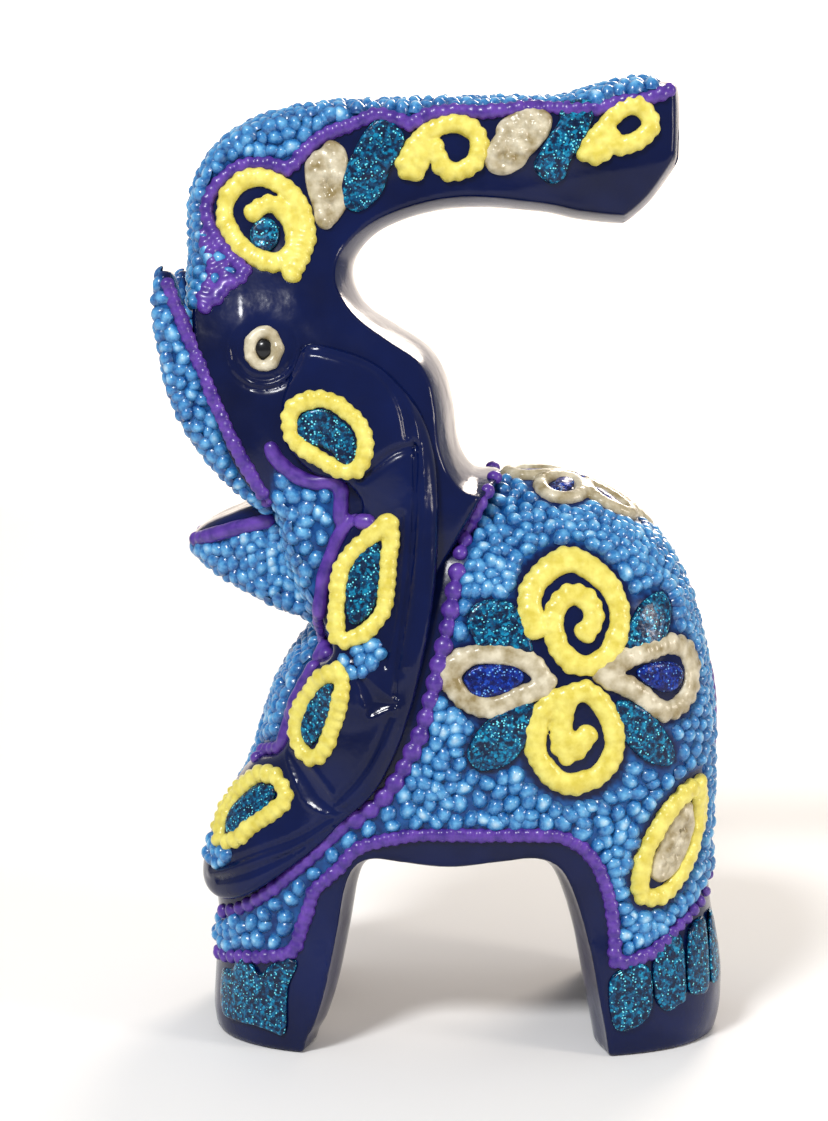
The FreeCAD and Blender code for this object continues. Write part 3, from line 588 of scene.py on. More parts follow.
FLANK_LEAVES = [
    [(3.4, 80.4), (4.2, 83), (7, 84.5), (11.5, 84), (13.6, 80.9), (15, 77.2), (15, 74.8), (10.6, 75),
     (6.2, 75.6), (4.6, 77.8)],
    [(35.2, 83.6), (38.8, 85.4), (40.8, 82.9), (40.7, 79.7), (39, 76.2), (35.6, 74.7), (32.4, 75.6),
     (31.8, 78.6), (33.6, 81.2)],
    [(15.4, 66.2), (10, 65), (5.8, 61.6), (3.5, 57.3), (5.6, 54), (10.8, 55.1), (13.8, 58.4), (15.2, 61.7)],
    [(30.6, 66.3), (35, 65.3), (38.1, 62.4), (41.1, 57.7), (41.1, 54), (36.6, 54.8), (33, 58),
     (30.9, 61.5)]]
THIGH_RIM = [
    (46.4, 49.2), (43.4, 48), (40.8, 45.6), (38.2, 41.9), (36.4, 38.3), (35.4, 34.5), (35.4, 30.6),
    (37.3, 29.2), (40.2, 29.9), (42.6, 32.2), (44.5, 35.6), (45.9, 39.1), (46.5, 43.4)]
THIGH_HEART = [
    (44.6, 46.2), (42.6, 45), (40.6, 41.9), (39.2, 38.6), (37.8, 35.8), (37.3, 32.6), (38.8, 31.6),
    (40.9, 32.8), (42.9, 35.5), (44.4, 39.1), (45.5, 42.8)]
EAR_RIMS = [
    [(-27.9, 119.2), (-24.9, 120.6), (-21.4, 120.4), (-18.4, 118.6), (-16, 116.2), (-14.9, 113.4),
     (-15.2, 110), (-16.8, 107.8), (-19.6, 107.9), (-22.7, 109.7), (-25.9, 111.6), (-28, 113.5),
     (-28.7, 116.5)],
    [(-10.5, 98.8), (-14.1, 96), (-17.4, 92.9), (-19.4, 90), (-19.9, 85.7), (-20.2, 81.9), (-19.9, 77.8),
     (-17.8, 77.3), (-14.7, 78.9), (-11.9, 82.4), (-11, 86.1), (-10.8, 90.1), (-10.4, 94.4)],
    [(-19.8, 72.1), (-23, 70.4), (-25.4, 66.9), (-27.2, 63.4), (-27.8, 60.2), (-26.8, 57.2), (-24.7, 55.5),
     (-22.5, 57.2), (-21.3, 60.1), (-20, 63.9), (-19.3, 67.4), (-18.9, 70.2)],
    [(-34.7, 51.3), (-31.5, 51.4), (-29.6, 49), (-29.9, 46.9), (-33, 44.5), (-36.2, 41.9), (-39.4, 39.1),
     (-42.2, 38.1), (-42.6, 40.2), (-41.1, 44.2), (-38.6, 47.8)]]
EAR_HEARTS = [
    [(-27.3, 116.6), (-25.3, 118.6), (-22.2, 118.8), (-19.3, 117), (-17, 114.4), (-16.3, 111.2),
     (-17.2, 108.9), (-19.5, 109), (-20.8, 110.9), (-23.1, 112.1), (-26.8, 112.9), (-27.7, 114.9)],
    [(-12.6, 94.9), (-14.9, 94.6), (-17, 91.9), (-18.3, 88.1), (-18.6, 84.4), (-17.7, 80.6), (-15.8, 80.6),
     (-13.4, 83.2), (-12.2, 87.4), (-12, 91.6)],
    [(-21, 70), (-24.5, 67.5), (-26.3, 64), (-27, 60.8), (-26.2, 58.4), (-24.7, 58), (-22.6, 60.8),
     (-21.2, 64.1), (-20.5, 67.8)],
    [(-32.1, 49.8), (-35.5, 49.2), (-38.7, 46.5), (-41, 43.7), (-41.5, 41), (-40.8, 40), (-38.4, 40.7),
     (-36, 43.4), (-33, 45.6), (-31.7, 47.7)]]
TRUNK_SCROLLS = [
    [(-28.6, 142.8), (-27, 146), (-26.1, 149.8), (-26.4, 152.9), (-27.8, 155.9), (-30.1, 158.6),
     (-33.4, 160.4), (-36.8, 160.5), (-39.9, 158.4), (-41.2, 155.3), (-40.8, 152), (-38.9, 148.7),
     (-35.9, 146.2), (-32.9, 145), (-30, 145.4), (-28.1, 148), (-28.5, 150.6), (-29.6, 153.4),
     (-31.2, 155.4), (-33.7, 155.8), (-36, 154)],
    [(-7.6, 161.6), (-8.2, 163.2), (-6.7, 165.6), (-4.1, 168.6), (-0.4, 170.2), (3, 170.1), (5.4, 168),
     (5.4, 165), (3.8, 162.5), (0.8, 161.5), (-1.4, 162.6), (-2, 165), (-2.9, 166.2), (-4.7, 165.4),
     (-5.5, 163.2), (-6.3, 161.4)],
    [(31.2, 166), (34.8, 167.4), (37.1, 169.8), (36, 172.4), (33.8, 173.7), (31.2, 172.9), (29.5, 170.9),
     (27.9, 168.9), (25.9, 166.7), (25, 165.2), (27.5, 164.4), (28.9, 166.1), (30, 168)]]
TRUNK_PETALS = [
    [(-25.2, 164.4), (-23.3, 166), (-21.4, 167.6), (-19.6, 166.5), (-19, 163.2), (-19.6, 157.5),
     (-19.3, 155), (-21.6, 151.5), (-23.5, 150.9), (-24.4, 155), (-25.7, 158.8), (-26, 163.2)],
    [(6.6, 164), (7.5, 166.2), (9.2, 168.2), (9.2, 170.2), (11.7, 172), (15.1, 173.3), (19, 172.3),
     (18.1, 168.6), (16.1, 166.5), (14, 164.4), (12.7, 162.4), (9.5, 160.8), (7, 161.7)]]
TRUNK_LEAVES = [
    [(-13, 171.2), (-9.8, 170.3), (-8.1, 167.6), (-9.4, 164.2), (-11, 161.7), (-12, 158.5), (-14, 155.9),
     (-17, 154.3), (-19.8, 156), (-20.1, 159.4), (-18.8, 162.6), (-17.5, 165.2), (-15.6, 168.7)],
    [(20.3, 174.5), (26.3, 174.3), (25.9, 170), (24.3, 166.5), (22.3, 163.6), (21.1, 160.4), (18.4, 159.5),
     (15.6, 162.2), (16.4, 164.8), (18.4, 168.2), (20.1, 170.7)],
    [(-36.4, 150.9), (-34.6, 153.1), (-32.7, 153.1), (-31.1, 151.2), (-31.5, 148.5), (-33.6, 146.9),
     (-35.9, 148.2)]]
COLLAR = [
    (8.6, 105.4), (5.4, 100.4), (2.2, 92.5), (0.4, 82), (-1.4, 73.5), (-4.2, 62.5), (-7.2, 55.6),
    (-10.4, 50.2), (-14.6, 46), (-19.6, 43), (-23.4, 38.6), (-28.2, 34.2), (-33.6, 29.4), (-38.2, 26),
    (-42.4, 23.4)]
TRUNK_BORDER = [
    (-44.6, 136.9), (-41.6, 140.4), (-37.1, 143), (-39.7, 146), (-42.5, 149.2), (-44.3, 152.4),
    (-44.5, 155.8), (-43, 159), (-40, 161.6), (-36.8, 163.2), (-33, 163), (-29.4, 162.2), (-27, 164.8),
    (-24.4, 167.4), (-21, 169), (-16.6, 170.6), (-13.4, 172), (-9.6, 171.2), (-7.2, 170.2), (-3.6, 172),
    (0.6, 172.8), (5.5, 172.4), (10.4, 172.9), (16, 173.6), (22, 173), (27.4, 173), (31.3, 174.2),
    (35.6, 174.7), (38.4, 175.6), (40.4, 176.4)]
BELLY_BORDER = [
    (-43.6, 14.6), (-39.6, 16.2), (-34, 17.6), (-29, 19), (-27.6, 20.8), (-26.8, 24), (-25.3, 27.6),
    (-24.2, 31.2), (-20, 35.2), (-16.8, 39), (-12.4, 40.6), (-7, 41.8), (0, 42), (9, 42), (16.7, 42),
    (20.8, 41.6), (24.4, 39.6), (27, 36.6), (29, 32), (30, 27.4), (30.6, 22.4), (30.8, 18), (34, 18.4),
    (37.6, 19.4), (42.7, 23.2), (47.2, 26.4), (50, 28.4)]
TRUNK_PATCH = [[(-45, 138.6), (-43.4, 142.4), (-43.6, 146.4), (-45.4, 150)],
               [(-42.4, 138.6), (-40.6, 141.4), (-41.4, 144.4)]]
JAW_BORDER = [(-47.8, 93.2), (-43.6, 94.6), (-38.6, 96.2), (-33.4, 97.6)]
THROAT_BORDERS = [
    [(-32.1, 111.6), (-31.2, 109.7), (-29.2, 107.8), (-26.9, 106.3), (-24.4, 105.5), (-21.4, 105.7),
     (-19.6, 104.8), (-19.4, 102), (-19.6, 98.9)],
    [(-14.4, 98.6), (-17.2, 98.4), (-19.6, 96), (-21, 92.3), (-22.5, 88.2), (-23.3, 83.1), (-23.6, 79),
     (-22.9, 75), (-22.4, 73.4)],
    [(-23.2, 73.8), (-25.9, 69.4), (-28.4, 64.2), (-29.8, 59.6), (-30.9, 56.2), (-33.8, 54.6), (-35.8, 53)]]
NAILS = [
    [(-42.6, 12.3), (-40.3, 13.6), (-39.1, 16.4), (-36.5, 16), (-34.7, 14.2), (-32.7, 16.2), (-29.6, 18.2),
     (-27.6, 17.2), (-29.2, 13.2), (-29.6, 9.7), (-30, 3.6), (-33, 3.9), (-36.2, 4.3), (-39.2, 4.2),
     (-42.6, 5)],
    [(29.7, 14.6), (32.1, 16.9), (34.7, 17.8), (36.9, 16.7), (37.7, 13.9), (37.7, 9.1), (36.2, 6.6),
     (33.7, 5.3), (31, 5.5), (29.8, 9.3)],
    [(37.9, 18.2), (39.2, 20.6), (40.6, 22.4), (42.5, 22.1), (43.7, 19.8), (44.3, 10.2), (43.1, 9),
     (40.3, 8.1), (38.2, 11.2)],
    [(44.8, 21.5), (47.2, 23.5), (48.6, 21.8), (49, 11), (46.7, 9.9), (44.6, 11.9)],
    [(49.4, 23.6), (50.6, 21.6), (51.6, 12.7), (50.6, 10.6), (49.3, 12), (49, 17.1)]]
BEAD_PATCHES = [  # small fields of beads on the ears
    [(-20, 74), (-17.2, 75.8), (-14, 77.4), (-11.8, 77), (-11.8, 74), (-14.6, 71.6), (-17.6, 71)],
    [(-47.4, 36.6), (-45.4, 40), (-43.6, 37.4), (-40, 36.6), (-42, 33.6), (-46, 33.4)]]


def petal_outline(base, tip, width):
    """Teardrop: round at its base, pointed at its tip."""
    base, tip = np.array(base, float), np.array(tip, float)
    along = tip - base
    across = np.array([-along[1], along[0]]) / np.linalg.norm(along) * 0.5 * width
    shares = [(0, 0), (0.07, 0.55), (0.2, 0.9), (0.42, 1.0), (0.68, 0.74), (0.88, 0.34), (1, 0)]
    near = [base + along * a + across * b for a, b in shares]
    far = [base + along * a - across * b for a, b in shares[-2:0:-1]]
    return smooth_line(near + far, True, 1.5)


PITCH = 1.75  # between the dots of a rope or a filled petal
YELLOW_ROPE, CREAM_ROPE, TRUNK_ROPE = 2.05, 1.95, 1.82  # half widths of the widest ropes


def dots_on(places, radius, height, wobble=0.08):
    """Dots of paint laid on the carving at places in the side view."""
    rows = []
    for spot, normal in on_side(places):
        size = 1 + wobble * dice.uniform(-1, 1)
        rows.append((*spot, *normal, radius * size, height * size))
    return np.array(rows).reshape(-1, 8)


def merged(dots, step=0.36, blend=0.55):
    """One smooth skin over dots of paint that have run together."""
    reach = dots[:, 6].max() + 1.2
    low, high = dots[:, :3].min(0) - reach - step, dots[:, :3].max(0) + reach + step
    shape = np.ceil((high - low) / step).astype(int) + 1
    values = np.full(shape, 3.0, np.float32)
    for row in dots:
        centre, normal, radius, height = row[:3], row[3:6], row[6], row[7]
        first = np.maximum(((centre - reach - low) / step).astype(int), 0)
        last = np.minimum(((centre + reach - low) / step).astype(int) + 2, shape)
        x, y, z = (low[i] + step * np.arange(first[i], last[i]) - centre[i] for i in range(3))
        x, y, z = x[:, None, None], y[None, :, None], z[None, None, :]
        up = x * normal[0] + y * normal[1] + z * normal[2]
        flat = np.maximum(x * x + y * y + z * z - up * up, 0)
        new = (np.sqrt(flat / radius ** 2 + (up / height) ** 2) - 1) * min(radius, height)
        window = tuple(slice(a, b) for a, b in zip(first, last))
        values[window] = smaller(values[window], new, blend)
    return shell_of(values, low, step)


def rope(lines, radius, height):
    """A thick line of paint, squeezed out in pulses that scallop both its edges."""
    rows, small = [], 0.6 * radius
    for line in lines:
        spots = smooth_line(line, gap=PITCH)
        along = np.gradient(spots, axis=0)
        across = np.stack([-along[:, 1], along[:, 0]], 1) / np.linalg.norm(along, axis=1)[:, None]
        rows.append(dots_on(spots, 0.85 * radius, height))
        for side in (-1, 1):
            rows.append(dots_on(spots + across * (side * (radius - small)), small, 0.8 * height, 0.2))
    return merged(np.vstack(rows), blend=0.5)


def outlines_of(shapes, gap=0.8):
    return [smooth_line(shape, True, gap) for shape in shapes]


def pebbles(shapes):
    """Outlines filled with dots of paint that touch each other."""
    rows, radius, height = [], 1.15, 1.3
    for outline in outlines_of(shapes):
        x, z = np.meshgrid(np.arange(outline[:, 0].min(), outline[:, 0].max(), PITCH),
                           np.arange(outline[:, 1].min(), outline[:, 1].max(), 0.87 * PITCH))
        x[::2] += 0.5 * PITCH
        x, z = (a.ravel() + dice.uniform(-0.2, 0.2, a.size) for a in (x, z))
        inside = off_outline(outline, x, z) < -0.6 * radius
        rows.append(dots_on(np.stack([x, z], 1)[inside], radius, height, 0.18))
        rows.append(dots_on(outline * 0.8 + outline.mean(0) * 0.2, radius, 0.7 * height, 0.1))
    return merged(np.vstack(rows), 0.3, 0.3)


def pad(shapes, field, height):
    """Low cushions of paint inside some outlines, lying on a carved field."""
    parts = []
    for outline in outlines_of(shapes):
        depths = [spot[1] for spot, _ in on_side(outline)]
        low = (outline[:, 0].min() - 1.5, min(depths) - 3, outline[:, 1].min() - 1.5)
        high = (outline[:, 0].max() + 1.5, max(depths) + 3, outline[:, 1].max() + 1.5)

        def cushion(x, y, z):
            under = field(x, y, z)
            top = larger(off_outline(outline, x, z), under - height, 0.7)
            return np.maximum(top, -under - 1.0)

        parts.append(carve(cushion, low, high, 0.4))
    return joined(parts)


def looped(shapes):
    """Lines that run once round each outline and close over their own start."""
    return [shape + shape[:2] for shape in shapes]


pair("flank_scrolls", *rope(FLANK_SCROLLS, YELLOW_ROPE, 1.6), "yellow_paint")
pair("flank_petal_rims", *rope(looped(FLANK_PETALS), CREAM_ROPE, 1.3), "cream_paint")
pair("flank_petal_hearts", *pad(FLANK_HEARTS, body_field, 0.8), "blue_glitter_paint")
pair("flank_leaves", *pad(FLANK_LEAVES, body_field, 0.9), "teal_glitter_paint")
pair("thigh_leaf_rim", *rope(looped([THIGH_RIM]), 1.8, 1.5), "yellow_paint")
pair("thigh_leaf_heart", *pebbles([THIGH_HEART]), "cream_paint")
pair("ear_leaf_rims", *rope(looped(EAR_RIMS), 1.62, 1.5), "yellow_paint", shift=EAR_SHIFT)
pair("ear_leaf_hearts", *pad(EAR_HEARTS, ear_field, 0.7), "teal_glitter_paint", shift=EAR_SHIFT)
pair("trunk_scrolls", *rope(TRUNK_SCROLLS, TRUNK_ROPE, 1.6), "yellow_paint")
pair("trunk_petals", *pebbles(TRUNK_PETALS), "cream_paint",
     ["trunk_petal_hearts", "trunk_petal_rims"])
pair("trunk_leaves", *pad(TRUNK_LEAVES, head_field, 0.9), "teal_glitter_paint")
for feet, shapes in (("front", NAILS[:1]), ("hind", NAILS[1:])):
    pair(feet + "_nails", *pad(shapes, body_field, 1.0), "teal_glitter_paint", (),
         ["toenails_" + feet])
pair("belly_border", *rope([BELLY_BORDER], 1.35, 1.2), "purple_paint")
pair("trunk_border", *rope([TRUNK_BORDER] + TRUNK_PATCH, 1.4, 1.2), "purple_paint")
collar_dots = [  # large dots on the shoulder, small ones that touch above and below it
    dots_on(smooth_line(stretch, gap=pitch)[skip:], radius, height)
    for stretch, pitch, skip, radius, height in (
        (COLLAR[:3], 2.3, 0, 1.5, 1.3), (COLLAR[2:10], 3.4, 1, 1.8, 1.5), (COLLAR[9:], 2.2, 1, 1.45, 1.2))]
pair("collar", *merged(np.vstack(collar_dots)), "purple_paint")
face_dots = [dots_on(smooth_line(line, gap=1.25), 1.4, 1.25) for line in [JAW_BORDER] + THROAT_BORDERS]
pair("face_borders", *merged(np.vstack(face_dots)), "purple_paint", ())
tusk_edge = [(x - 1.0, z + 0.2) for x, z in [(-50, 141)] + TUSK_INNER[1:]]
pair("tusk_border", *rope([tusk_edge], 1.35, 1.1), "purple_paint", ())


# ---- fields of beads
def nearest(spots, places):
    """For each place, the number of the nearest spot and the distance to it."""
    tree = KDTree(len(spots))
    for number, spot in enumerate(np.array(spots).tolist()):
        tree.insert(spot, number)
    tree.balance()
    found = [tree.find(place) for place in places.tolist()]
    return np.array([hit[1] for hit in found]), np.array([hit[2] for hit in found])


def spread(part, step, use, pitch):
    """Even, lightly uneven places for beads on the chosen points of a carved part."""
    points, normals = part[0][use], normals_of(*part)[use]
    area = 0.92 * step ** 2 * len(points)  # a carving has a point to each 0.92 of its step squared
    count = max(1, round(area / (0.866 * pitch ** 2)))  # and a net of triangles to 0.866
    seeds = points[dice.choice(len(points), count, replace=False)].copy()
    for _ in range(9):
        owner = nearest(seeds, points)[0]
        share = np.bincount(owner, minlength=count)
        for axis in range(3):
            total = np.bincount(owner, points[:, axis], minlength=count)
            seeds[:, axis] = np.where(share > 0, total / np.maximum(share, 1), seeds[:, axis])
    chosen = nearest(points, seeds)[0]
    return points[chosen], normals[chosen]


FLOWER = (24.6, 0.0)
FLOWER_PETALS = []
for number in range(6):
    turn = math.radians(60 * number + 8)
    way = np.array([math.cos(turn), math.sin(turn)])
    FLOWER_PETALS.append(petal_outline(way * 13.4 + FLOWER, way * 2.8 + FLOWER, 7.6))


def normals_of(points, faces):
    a, b, c, d = (points[faces[:, i]] for i in range(4))
    face_normals = np.cross(c - a, d - b)
    total = np.zeros_like(points)
    for i in range(4):
        for axis in range(3):
            total[:, axis] += np.bincount(faces[:, i], face_normals[:, axis], len(points))
    return total / np.maximum(np.linalg.norm(total, axis=1), 1e-9)[:, None]


PROFILE = [(1.1, -0.3), (0.98, 0.12), (0.76, 0.52), (0.4, 0.87)]  # radius and height, as shares
AROUND = 10


def beads(name, spots, normals, radius, height):
    """Beads of paint: a small dome on each spot, each one a little different."""
    count = len(spots)
    turn = dice.uniform(0, 2 * math.pi, count)
    size = 1 + 0.1 * dice.standard_normal(count).clip(-1.5, 1.5)
    tall = height * (1 + 0.16 * dice.standard_normal(count).clip(-1.5, 1.5))
    normals = normals + 0.09 * dice.standard_normal((count, 3))
    normals /= np.linalg.norm(normals, axis=1)[:, None]
    helper = np.where(np.abs(normals[:, :1]) < 0.8, [[1.0, 0, 0]], [[0, 1.0, 0]])
    u = np.cross(normals, helper)
    u /= np.linalg.norm(u, axis=1)[:, None]
    v = np.cross(normals, u)
    rings = []
    for share, lift in PROFILE:
        for step in range(AROUND):
            angle = turn + 2 * math.pi * step / AROUND
            uneven = 1 + 0.13 * np.sin(2 * angle + turn * 3) + 0.06 * np.sin(3 * angle)
            reach = radius * size * share * uneven
            rings.append(spots + u * (np.cos(angle) * reach)[:, None] + v * (np.sin(angle) * reach)[:, None]
                         + normals * (tall * lift)[:, None])
    points = np.stack(rings + [spots + normals * tall[:, None]], 1)
    per = points.shape[1]
    quads, caps = [], []
    for level in range(len(PROFILE) - 1):
        for step in range(AROUND):
            a, b = level * AROUND + step, level * AROUND + (step + 1) % AROUND
            quads.append((a, b, b + AROUND, a + AROUND))
    last = (len(PROFILE) - 1) * AROUND
    for step in range(AROUND):
        caps.append((last + step, last + (step + 1) % AROUND, per - 1))
    shift = (np.arange(count) * per)[:, None, None]
    quads = (np.array(quads)[None] + shift).reshape(-1, 4)
    caps = (np.array(caps)[None] + shift).reshape(-1, 3)
    lift = np.concatenate([np.repeat([max(p[1], 0) for p in PROFILE], AROUND), [1.0]])
    # Each bead gets lighter towards its tip, a painted highlight over painted shade at its foot, mixed with a
    # random tone of its own.
    tone_and_painted_light = 0.7 * lift[None] ** 1.3 + 0.3 * dice.uniform(0, 1, count)[:, None]
    triangles = np.vstack([quads[:, [0, 1, 2]], quads[:, [0, 2, 3]], caps])
    piece(name, points.reshape(-1, 3), triangles, "blue_bead_paint", (), {"tone_and_painted_light": tone_and_painted_light.ravel()})


def bead_pair(name, spots, normals, radius, height, shift=0.0):
    """Beads on the left and at the mirrored spots on the right."""
    for side, turn, move in (("left", (1, 1, 1), 0), ("right", (1, -1, 1), shift)):
        beads(name % side, spots * turn + (move, 0, 0), normals * turn, radius, height)


MOTIF_GROUND = [
    [(13.6, 78.4), (12.2, 84), (13.6, 89.6), (18, 93), (22, 94), (27, 92), (31.6, 87.4), (33.2, 82),
     (32.4, 75.6), (27, 70.4), (18, 72)],
    [(15, 68), (21, 70.8), (28, 70), (31.4, 66), (32.6, 58.6), (30.4, 52.6), (25.6, 49.2), (20, 49.4),
     (15.6, 52.6), (13.6, 58)],
    [(14, 76), (15, 66), (30, 65), (33, 76)]]
MOTIF_OUTLINES = outlines_of(FLANK_LEAVES + MOTIF_GROUND, 1.5)
MOTIF_RIMS = outlines_of(FLANK_PETALS + [THIGH_RIM], 1.5)
border = np.array(BELLY_BORDER)
NECK_AREA = np.array(
    [(12, 113)] + COLLAR + [(-48, 22), (-49.5, 27), (-42, 32), (-37.5, 40), (-34.5, 46), (-33, 51)]
    + THROAT_BORDERS[2][-2::-1] + [(-22, 92), (-12, 112), (12, 113)])
FAR = 99.0  # stands for no edge nearby


def flower_clearance(x, y):
    """How far a place on the back is from the flower's petals, in plan."""
    best = np.hypot(x - FLOWER[0], y - FLOWER[1]) - 3.0
    for outline in FLOWER_PETALS:
        best = np.minimum(best, off_outline(outline, x, y) - 0.8)
    return best


def from_line(places, p):
    """Distances from points of the carving to a line painted on both its sides."""
    folded = p * (1, 0, 1) - np.abs(p) * (0, 1, 0)
    return nearest([spot for spot, _ in on_side(places)], folded)[1]


def flank_clearance(p):
    """How far a place on the body is from the bare ground of the flank's motifs."""
    best = np.full(len(p), FAR)
    for outlines, margin in ((MOTIF_OUTLINES, 0.0), (MOTIF_RIMS, 0.9 * YELLOW_ROPE)):
        best = np.minimum(best, from_line(np.vstack(outlines), p) - margin)
        for outline in outlines:
            best = np.where((off_outline(outline, p[:, 0], p[:, 2]) < 0) & (p[:, 0] < 47), -1, best)
    return best


def body_paint(p):
    """Distance inside the body's bead field, in mm; negative outside it."""
    x, y, z = p.T
    inside = z - np.interp(x, border[:, 0], border[:, 1])
    inside = np.where(inside > 0, off_line(border, x, z), -1)
    inside = np.minimum(inside, off_outline(NECK_AREA, x, z))
    inside = np.minimum(inside, flank_clearance(p) + 0.2)
    slots = np.hypot(y, np.maximum(z - 27, 0)) - SLOT_HALF
    inside = np.minimum(inside, np.where(np.abs(x) > 20, slots, FAR))
    tail = np.where(x > 40, np.hypot(y, np.maximum(z - 78, 0) + np.maximum(47 - z, 0)) - 1.8, FAR)
    flower = np.where(z > 85, flower_clearance(x, y), FAR)
    return np.minimum(np.minimum(inside, tail), flower)


TRUNK_AREA = smooth_line(TRUNK_BORDER, gap=1.5)
TRUNK_AREA = np.vstack([TRUNK_AREA, [(41, 190), (-62, 190), (-62, 137), TRUNK_AREA[0]]])
THROAT_AREA = np.array(THROAT_BORDERS[0] + THROAT_BORDERS[1][2:] + [
    (-22.4, 66), (-62, 66), (-62, 92.6), (-47.8, 93.2), (-38.6, 96.2), (-33.6, 98), (-33.4, 103),
    (-32.1, 111.6)])


def head_paint(p):
    """Distance inside the bead fields of the trunk and the throat; negative outside them."""
    x, _, z = p.T
    trunk = from_line(smooth_line(TRUNK_BORDER), p)
    trunk = np.where(off_outline(TRUNK_AREA, x, z) < 0, trunk, -trunk)
    return np.maximum(np.minimum(trunk, TRUNK_END - x), -off_outline(THROAT_AREA, x, z))


def tusk_paint(p):
    """Distance from the tusk's purple border to a point of the tusk."""
    return off_line(np.array(TUSK_INNER), p[:, 0], p[:, 2]) - 1.2


BURIED = -0.3  # this deep in its neighbour, a part carries no beads
body_inside, head_inside = body_paint(body[0]), head_paint(head[0])
x, y, z = body[0].T
covered = (head_field(x, y, z) < BURIED) | (ear_field(x - EAR_SHIFT * (y > 0), -np.abs(y), z) < 1.0)
spots, ways = spread(body, BODY_STEP, (body_inside > 1.5) & ~covered & (z > 5), 2.8)
for side, half in (("left", spots[:, 1] < 0), ("right", spots[:, 1] >= 0)):
    beads("body_beads_" + side, spots[half], ways[half], 1.62, 1.25)
covered = body_skin(*head[0].T) < BURIED
spots, ways = spread(head, HEAD_STEP, (head_inside > 1.5) & ~covered, 2.75)
high = spots[:, 2] > 125
beads("trunk_beads", spots[high], ways[high], 1.6, 1.3)
beads("throat_beads", spots[~high], ways[~high], 1.6, 0.9)
use = (tusk_paint(tusk[0]) > 0.9) & (head_field(*tusk[0].T) > 0.2)
bead_pair("tusk_beads_%s", *spread(tusk, FINE_STEP, use, 2.6), 1.5, 1.0)
for number, outline in enumerate(outlines_of(BEAD_PATCHES)):
    use = (off_outline(outline, ear[0][:, 0], ear[0][:, 2]) < 0) & (normals_of(*ear)[:, 1] < -0.2)
    bead_pair("ear_beads_%%s_%d" % number, *spread(ear, FINE_STEP, use, 2.7), 1.5, 1.1, EAR_SHIFT)

piece("body_carving", *body, "navy_lacquer", ["body_block"], {"painted": ramp(body_inside, 0.7, 1.4)})
piece("head_carving", *head, "navy_lacquer", ["head_block"], {"painted": ramp(head_inside, 0.7, 1.4)})
pair("ear_carving", *ear, "navy_lacquer", ["ear"], ["ear_pegs"], {"painted": np.zeros(len(ear[0]))},
     EAR_SHIFT)
pair("tusk_carving", *tusk, "navy_lacquer", ["tusk"], ["tusk_pegs"],
     {"painted": ramp(tusk_paint(tusk[0]), 0, 1)})


# ---- eyes, tail, dowels and flower
turns = np.linspace(0, 2 * math.pi, 15)
circle = np.stack([EYE[0] + 2.5 * np.cos(turns), EYE[1] + 3.1 * np.sin(turns)], 1)
pair("eye_ring", *merged(dots_on(circle, 1.15, 1.1, 0.16), 0.3), "cream_paint")
pair("eye_pupil", *merged(dots_on([EYE], 1.8, 1.1), 0.2), "black_paint")

TAIL = smooth_line([(45.2, 82), (47.6, 73), (49.5, 65), (50, 58), (49.8, 49)], gap=2.1)
tail_rows = [(x, 0, z, 1, 0, 0, 2.2 + 0.15 * (-1) ** number, 1.9) for number, (x, z) in enumerate(TAIL)]
piece("tail_cord", *merged(np.array(tail_rows), 0.4), "purple_paint", ["tail", "tail_peg"])

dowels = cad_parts["neck_dowels"]
dowels.data.materials.clear()
dowels.data.materials.append(FINISHES["bare_wood"])


def dot_on_top(place, radius, height):
    """A dot of paint on the back, at a place in plan."""
    spot, normal = meet((*place, 150), (0, 0, -1))
    return *spot, *normal, radius, height


rim_rows, heart_rows = [], []
for outline in FLOWER_PETALS:
    rim_rows += [dot_on_top(place, 1.5, 1.5) for place in outline[:-1]]
    middle = outline[:-1].mean(0)
    heart_rows += [dot_on_top(middle + (middle - FLOWER) * share, 1.9, 0.9) for share in (-0.25, 0.05, 0.35)]
heart_rows.append(dot_on_top(FLOWER, 2.2, 1.6))
piece("flower_rims", *merged(np.array(rim_rows)), "cream_paint", ["back_flower_rims"])
piece("flower_hearts", *merged(np.array(heart_rows)), "blue_glitter_paint", ["back_flower_hearts"])

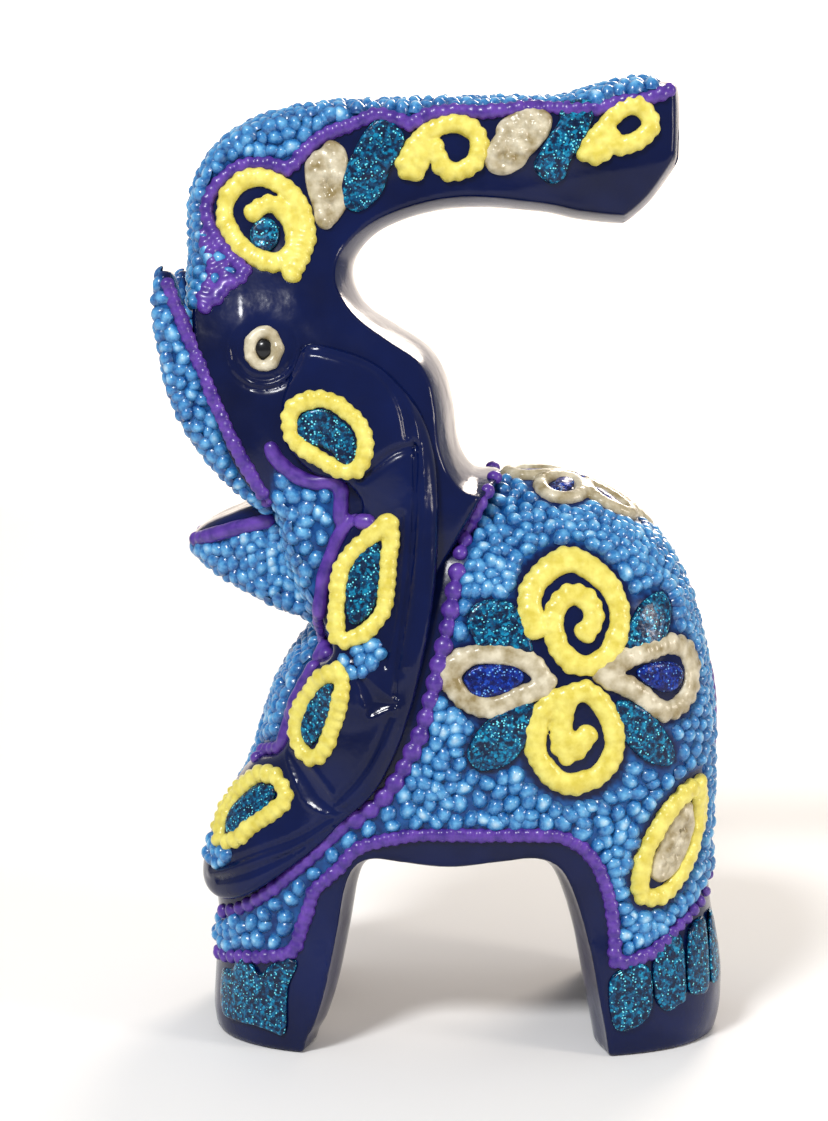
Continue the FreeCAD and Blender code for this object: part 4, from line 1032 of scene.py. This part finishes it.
# ---- camera, light and floor
scene = bpy.context.scene
LOOK_AT, DISTANCE = Vector((-6.6, 0, 88.4)) * MM, 0.451
ELEVATION, AZIMUTH = math.radians(7), math.radians(1)
back = Vector((math.sin(AZIMUTH) * math.cos(ELEVATION), -math.cos(AZIMUTH) * math.cos(ELEVATION),
               math.sin(ELEVATION)))
lens = bpy.data.cameras.new("camera")
lens.lens, lens.sensor_width = 75.5, 36
camera = bpy.data.objects.new("camera", lens)
scene.collection.objects.link(camera)
camera.location = LOOK_AT + back * DISTANCE
camera.rotation_mode = "QUATERNION"
camera.rotation_quaternion = (-back).to_track_quat("-Z", "Y")
lens.clip_start, lens.clip_end = 0.01, 20
scene.camera = camera


def panel(name, corners, **values):
    """A flat part of the stage."""
    mesh = bpy.data.meshes.new(name)
    mesh.from_pydata(corners, [], [(0, 1, 2, 3)])
    mesh.materials.append(Finish(name, **values).material)
    made = bpy.data.objects.new(name, mesh)
    scene.collection.objects.link(made)
    return made


floor = panel("floor", [(-3, -3, 0), (3, -3, 0), (3, 3, 0), (-3, 3, 0)], Base_Color=grey(0.9), Roughness=0.8)
wall = panel("backdrop", [(-0.55, 1, 0), (0.55, 1, 0), (0.55, 1, 0.6), (-0.55, 1, 0.6)],
             Base_Color=grey(0.9), Roughness=0.9, Emission_Color=(1, 0.8, 0.62, 1), Emission_Strength=0.7)
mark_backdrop(floor, wall)


def area_light(name, place, size, power, tint=(1, 1, 1)):
    lamp = bpy.data.lights.new(name, "AREA")
    lamp.shape, lamp.size, lamp.energy, lamp.color = "DISK", size, power, tint
    made = bpy.data.objects.new(name, lamp)
    scene.collection.objects.link(made)
    made.location = place
    made.rotation_mode = "QUATERNION"
    made.rotation_quaternion = (LOOK_AT - Vector(place)).to_track_quat("-Z", "Y")


area_light("key_light", (-0.35, -0.7, 0.85), 0.22, 8.5)
area_light("side_light", (0.8, -0.4, 0.35), 0.25, 3, (1, 0.9, 0.8))
area_light("back_light", (0.3, 0.8, 0.6), 0.35, 5, (1, 0.88, 0.76))
world = bpy.data.worlds.new("world")
scene.world = world
world.use_nodes = True
world.node_tree.nodes["Background"].inputs["Color"].default_value = grey(1)
world.node_tree.nodes["Background"].inputs["Strength"].default_value = 0.4
scene.view_settings.view_transform = "Standard"

low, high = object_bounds()
